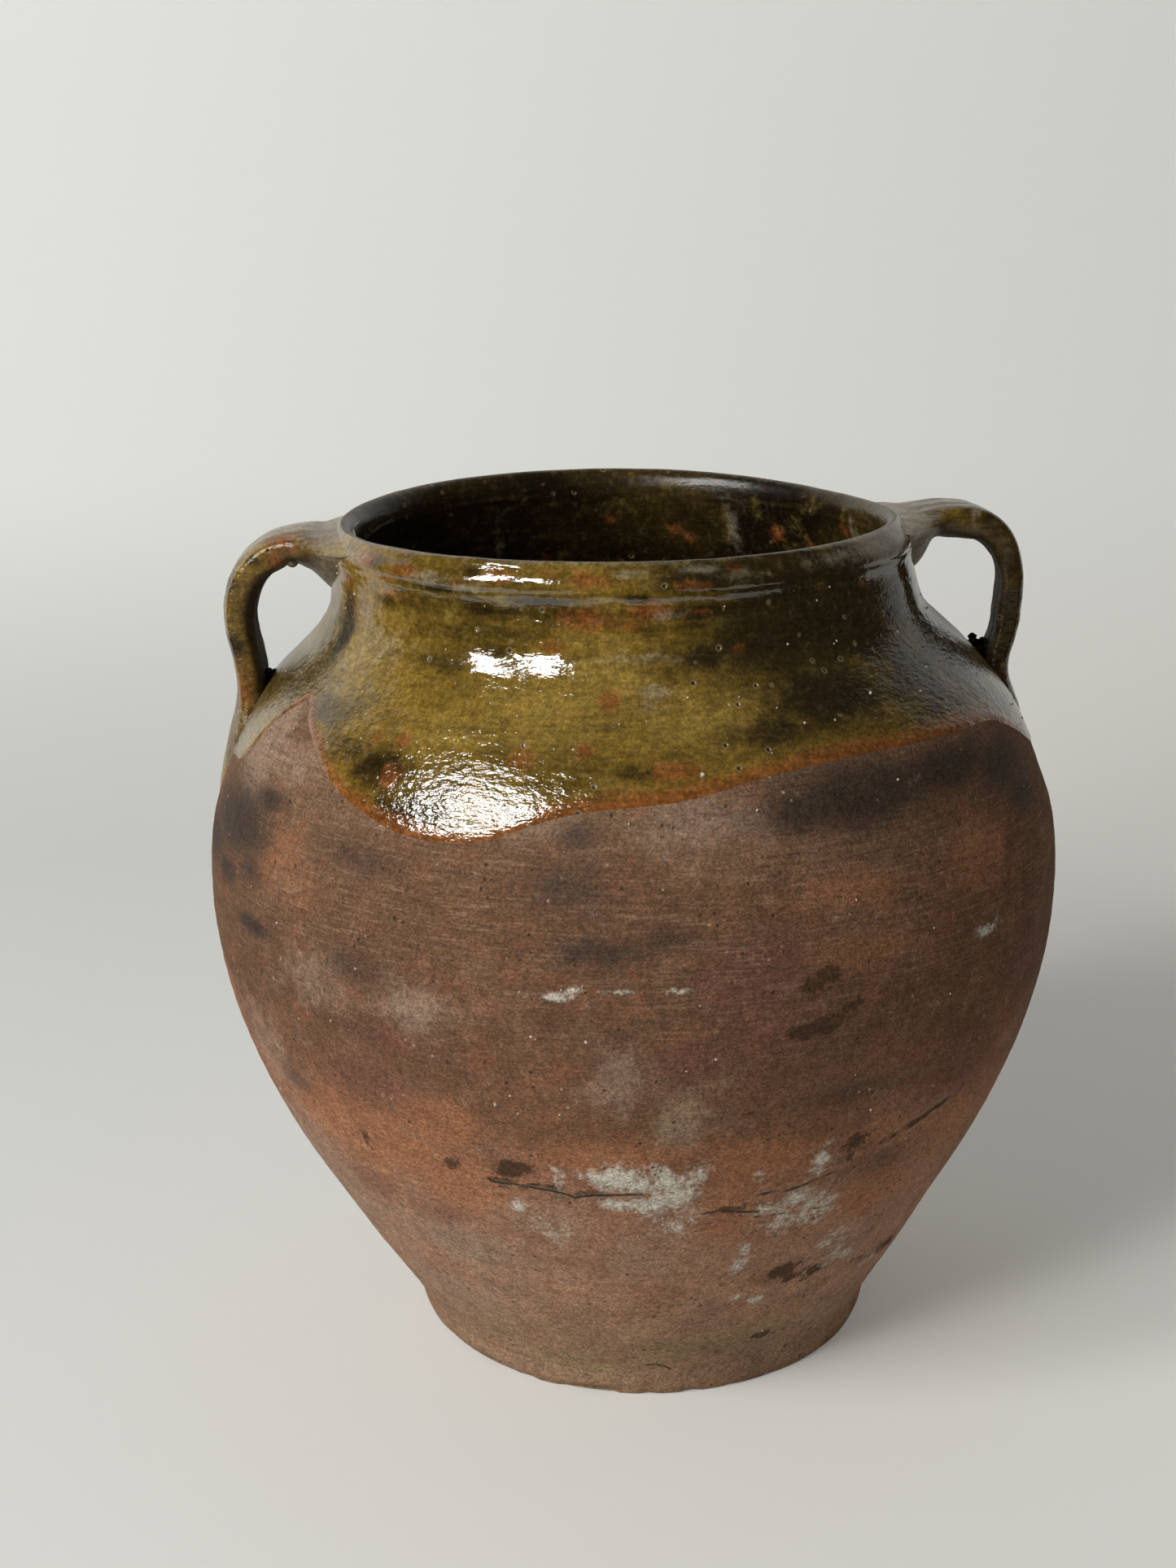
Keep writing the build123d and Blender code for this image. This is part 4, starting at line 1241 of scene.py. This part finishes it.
def lamp(name, turn, rise, distance, wide, tall, watts, color, mirrored=True):
    """A soft lamp at a turn and an angle above the floor, aimed at the jar's middle."""
    data = bpy.data.lights.new(name, "AREA")
    data.shape = "RECTANGLE"
    data.size, data.size_y, data.energy, data.color = wide, tall, watts, color
    angle, rise = math.radians(turn + camera_turn), math.radians(rise)
    level = math.cos(rise)
    back = np.array([math.sin(angle) * level, -math.cos(angle) * level, math.sin(rise)])
    side = np.cross([0, 0, 1], back)
    side /= np.linalg.norm(side)
    middle = np.array([0, 0, jar_height * 0.55])
    stand = put_in_scene(name, data)
    stand.matrix_world = facing(side, np.cross(back, side), back, middle + back * distance)
    stand.visible_camera = False
    stand.visible_glossy = mirrored


def set_world():
    """Dim room light on the jar, and a pale room behind the sweep for the camera alone."""
    world = bpy.data.worlds.new("room")
    bpy.context.scene.world = world
    world.use_nodes = True
    nodes, links = world.node_tree.nodes, world.node_tree.links
    path = nodes.new("ShaderNodeLightPath")
    color = None
    for ray, seen in (
        (None, (0.105, 0.096, 0.085)), ("Is Glossy Ray", (0.03, 0.03, 0.03)),
        ("Is Camera Ray", (0.66, 0.66, 0.63)),
    ):
        mix = nodes.new("ShaderNodeMix")
        mix.data_type = "RGBA"
        mix.inputs[7].default_value = (*seen, 1)
        if color is None:
            mix.inputs["Factor"].default_value = 1.0
        else:
            links.new(path.outputs[ray], mix.inputs["Factor"])
            links.new(color, mix.inputs[6])
        color = mix.outputs[2]
    links.new(color, nodes["Background"].inputs["Color"])


set_world()
lamp("left_pane", -57, 33, 2.2, 0.34, 1.00, 21.5, (1.0, 0.985, 0.955))
lamp("right_pane", -36.5, 31, 2.2, 0.42, 0.80, 26, (1.0, 0.985, 0.955))
lamp("right_bounce", 100, 15, 1.7, 1.4, 1.2, 3.0, (1.0, 0.93, 0.84), mirrored=False)


def set_camera():
    """The photograph's camera: its distance from the jar's axis, its height and its place a little
    to the left, tilted down and with a slight roll."""
    distance, aside, height = 784.7 * mm, 15.75 * mm, 436.3 * mm
    tilt, roll = math.radians(16.76), math.radians(0.6)
    angle = math.radians(camera_turn)
    back = np.array([math.sin(angle), -math.cos(angle), 0])
    right = np.array([math.cos(angle), math.sin(angle), 0])
    up = np.array([0, 0, 1])
    ahead = -back * math.cos(tilt) - up * math.sin(tilt)
    above = np.cross(right, ahead)
    data = bpy.data.cameras.new("camera")
    data.sensor_width = 36
    data.lens = 51.99
    camera = put_in_scene("camera", data)
    camera.matrix_world = facing(
        math.cos(roll) * right - math.sin(roll) * above,
        math.sin(roll) * right + math.cos(roll) * above,
        -ahead,
        back * distance - right * aside + up * height,
    )
    bpy.context.scene.camera = camera


set_camera()
bpy.context.scene.view_settings.view_transform = "Standard"
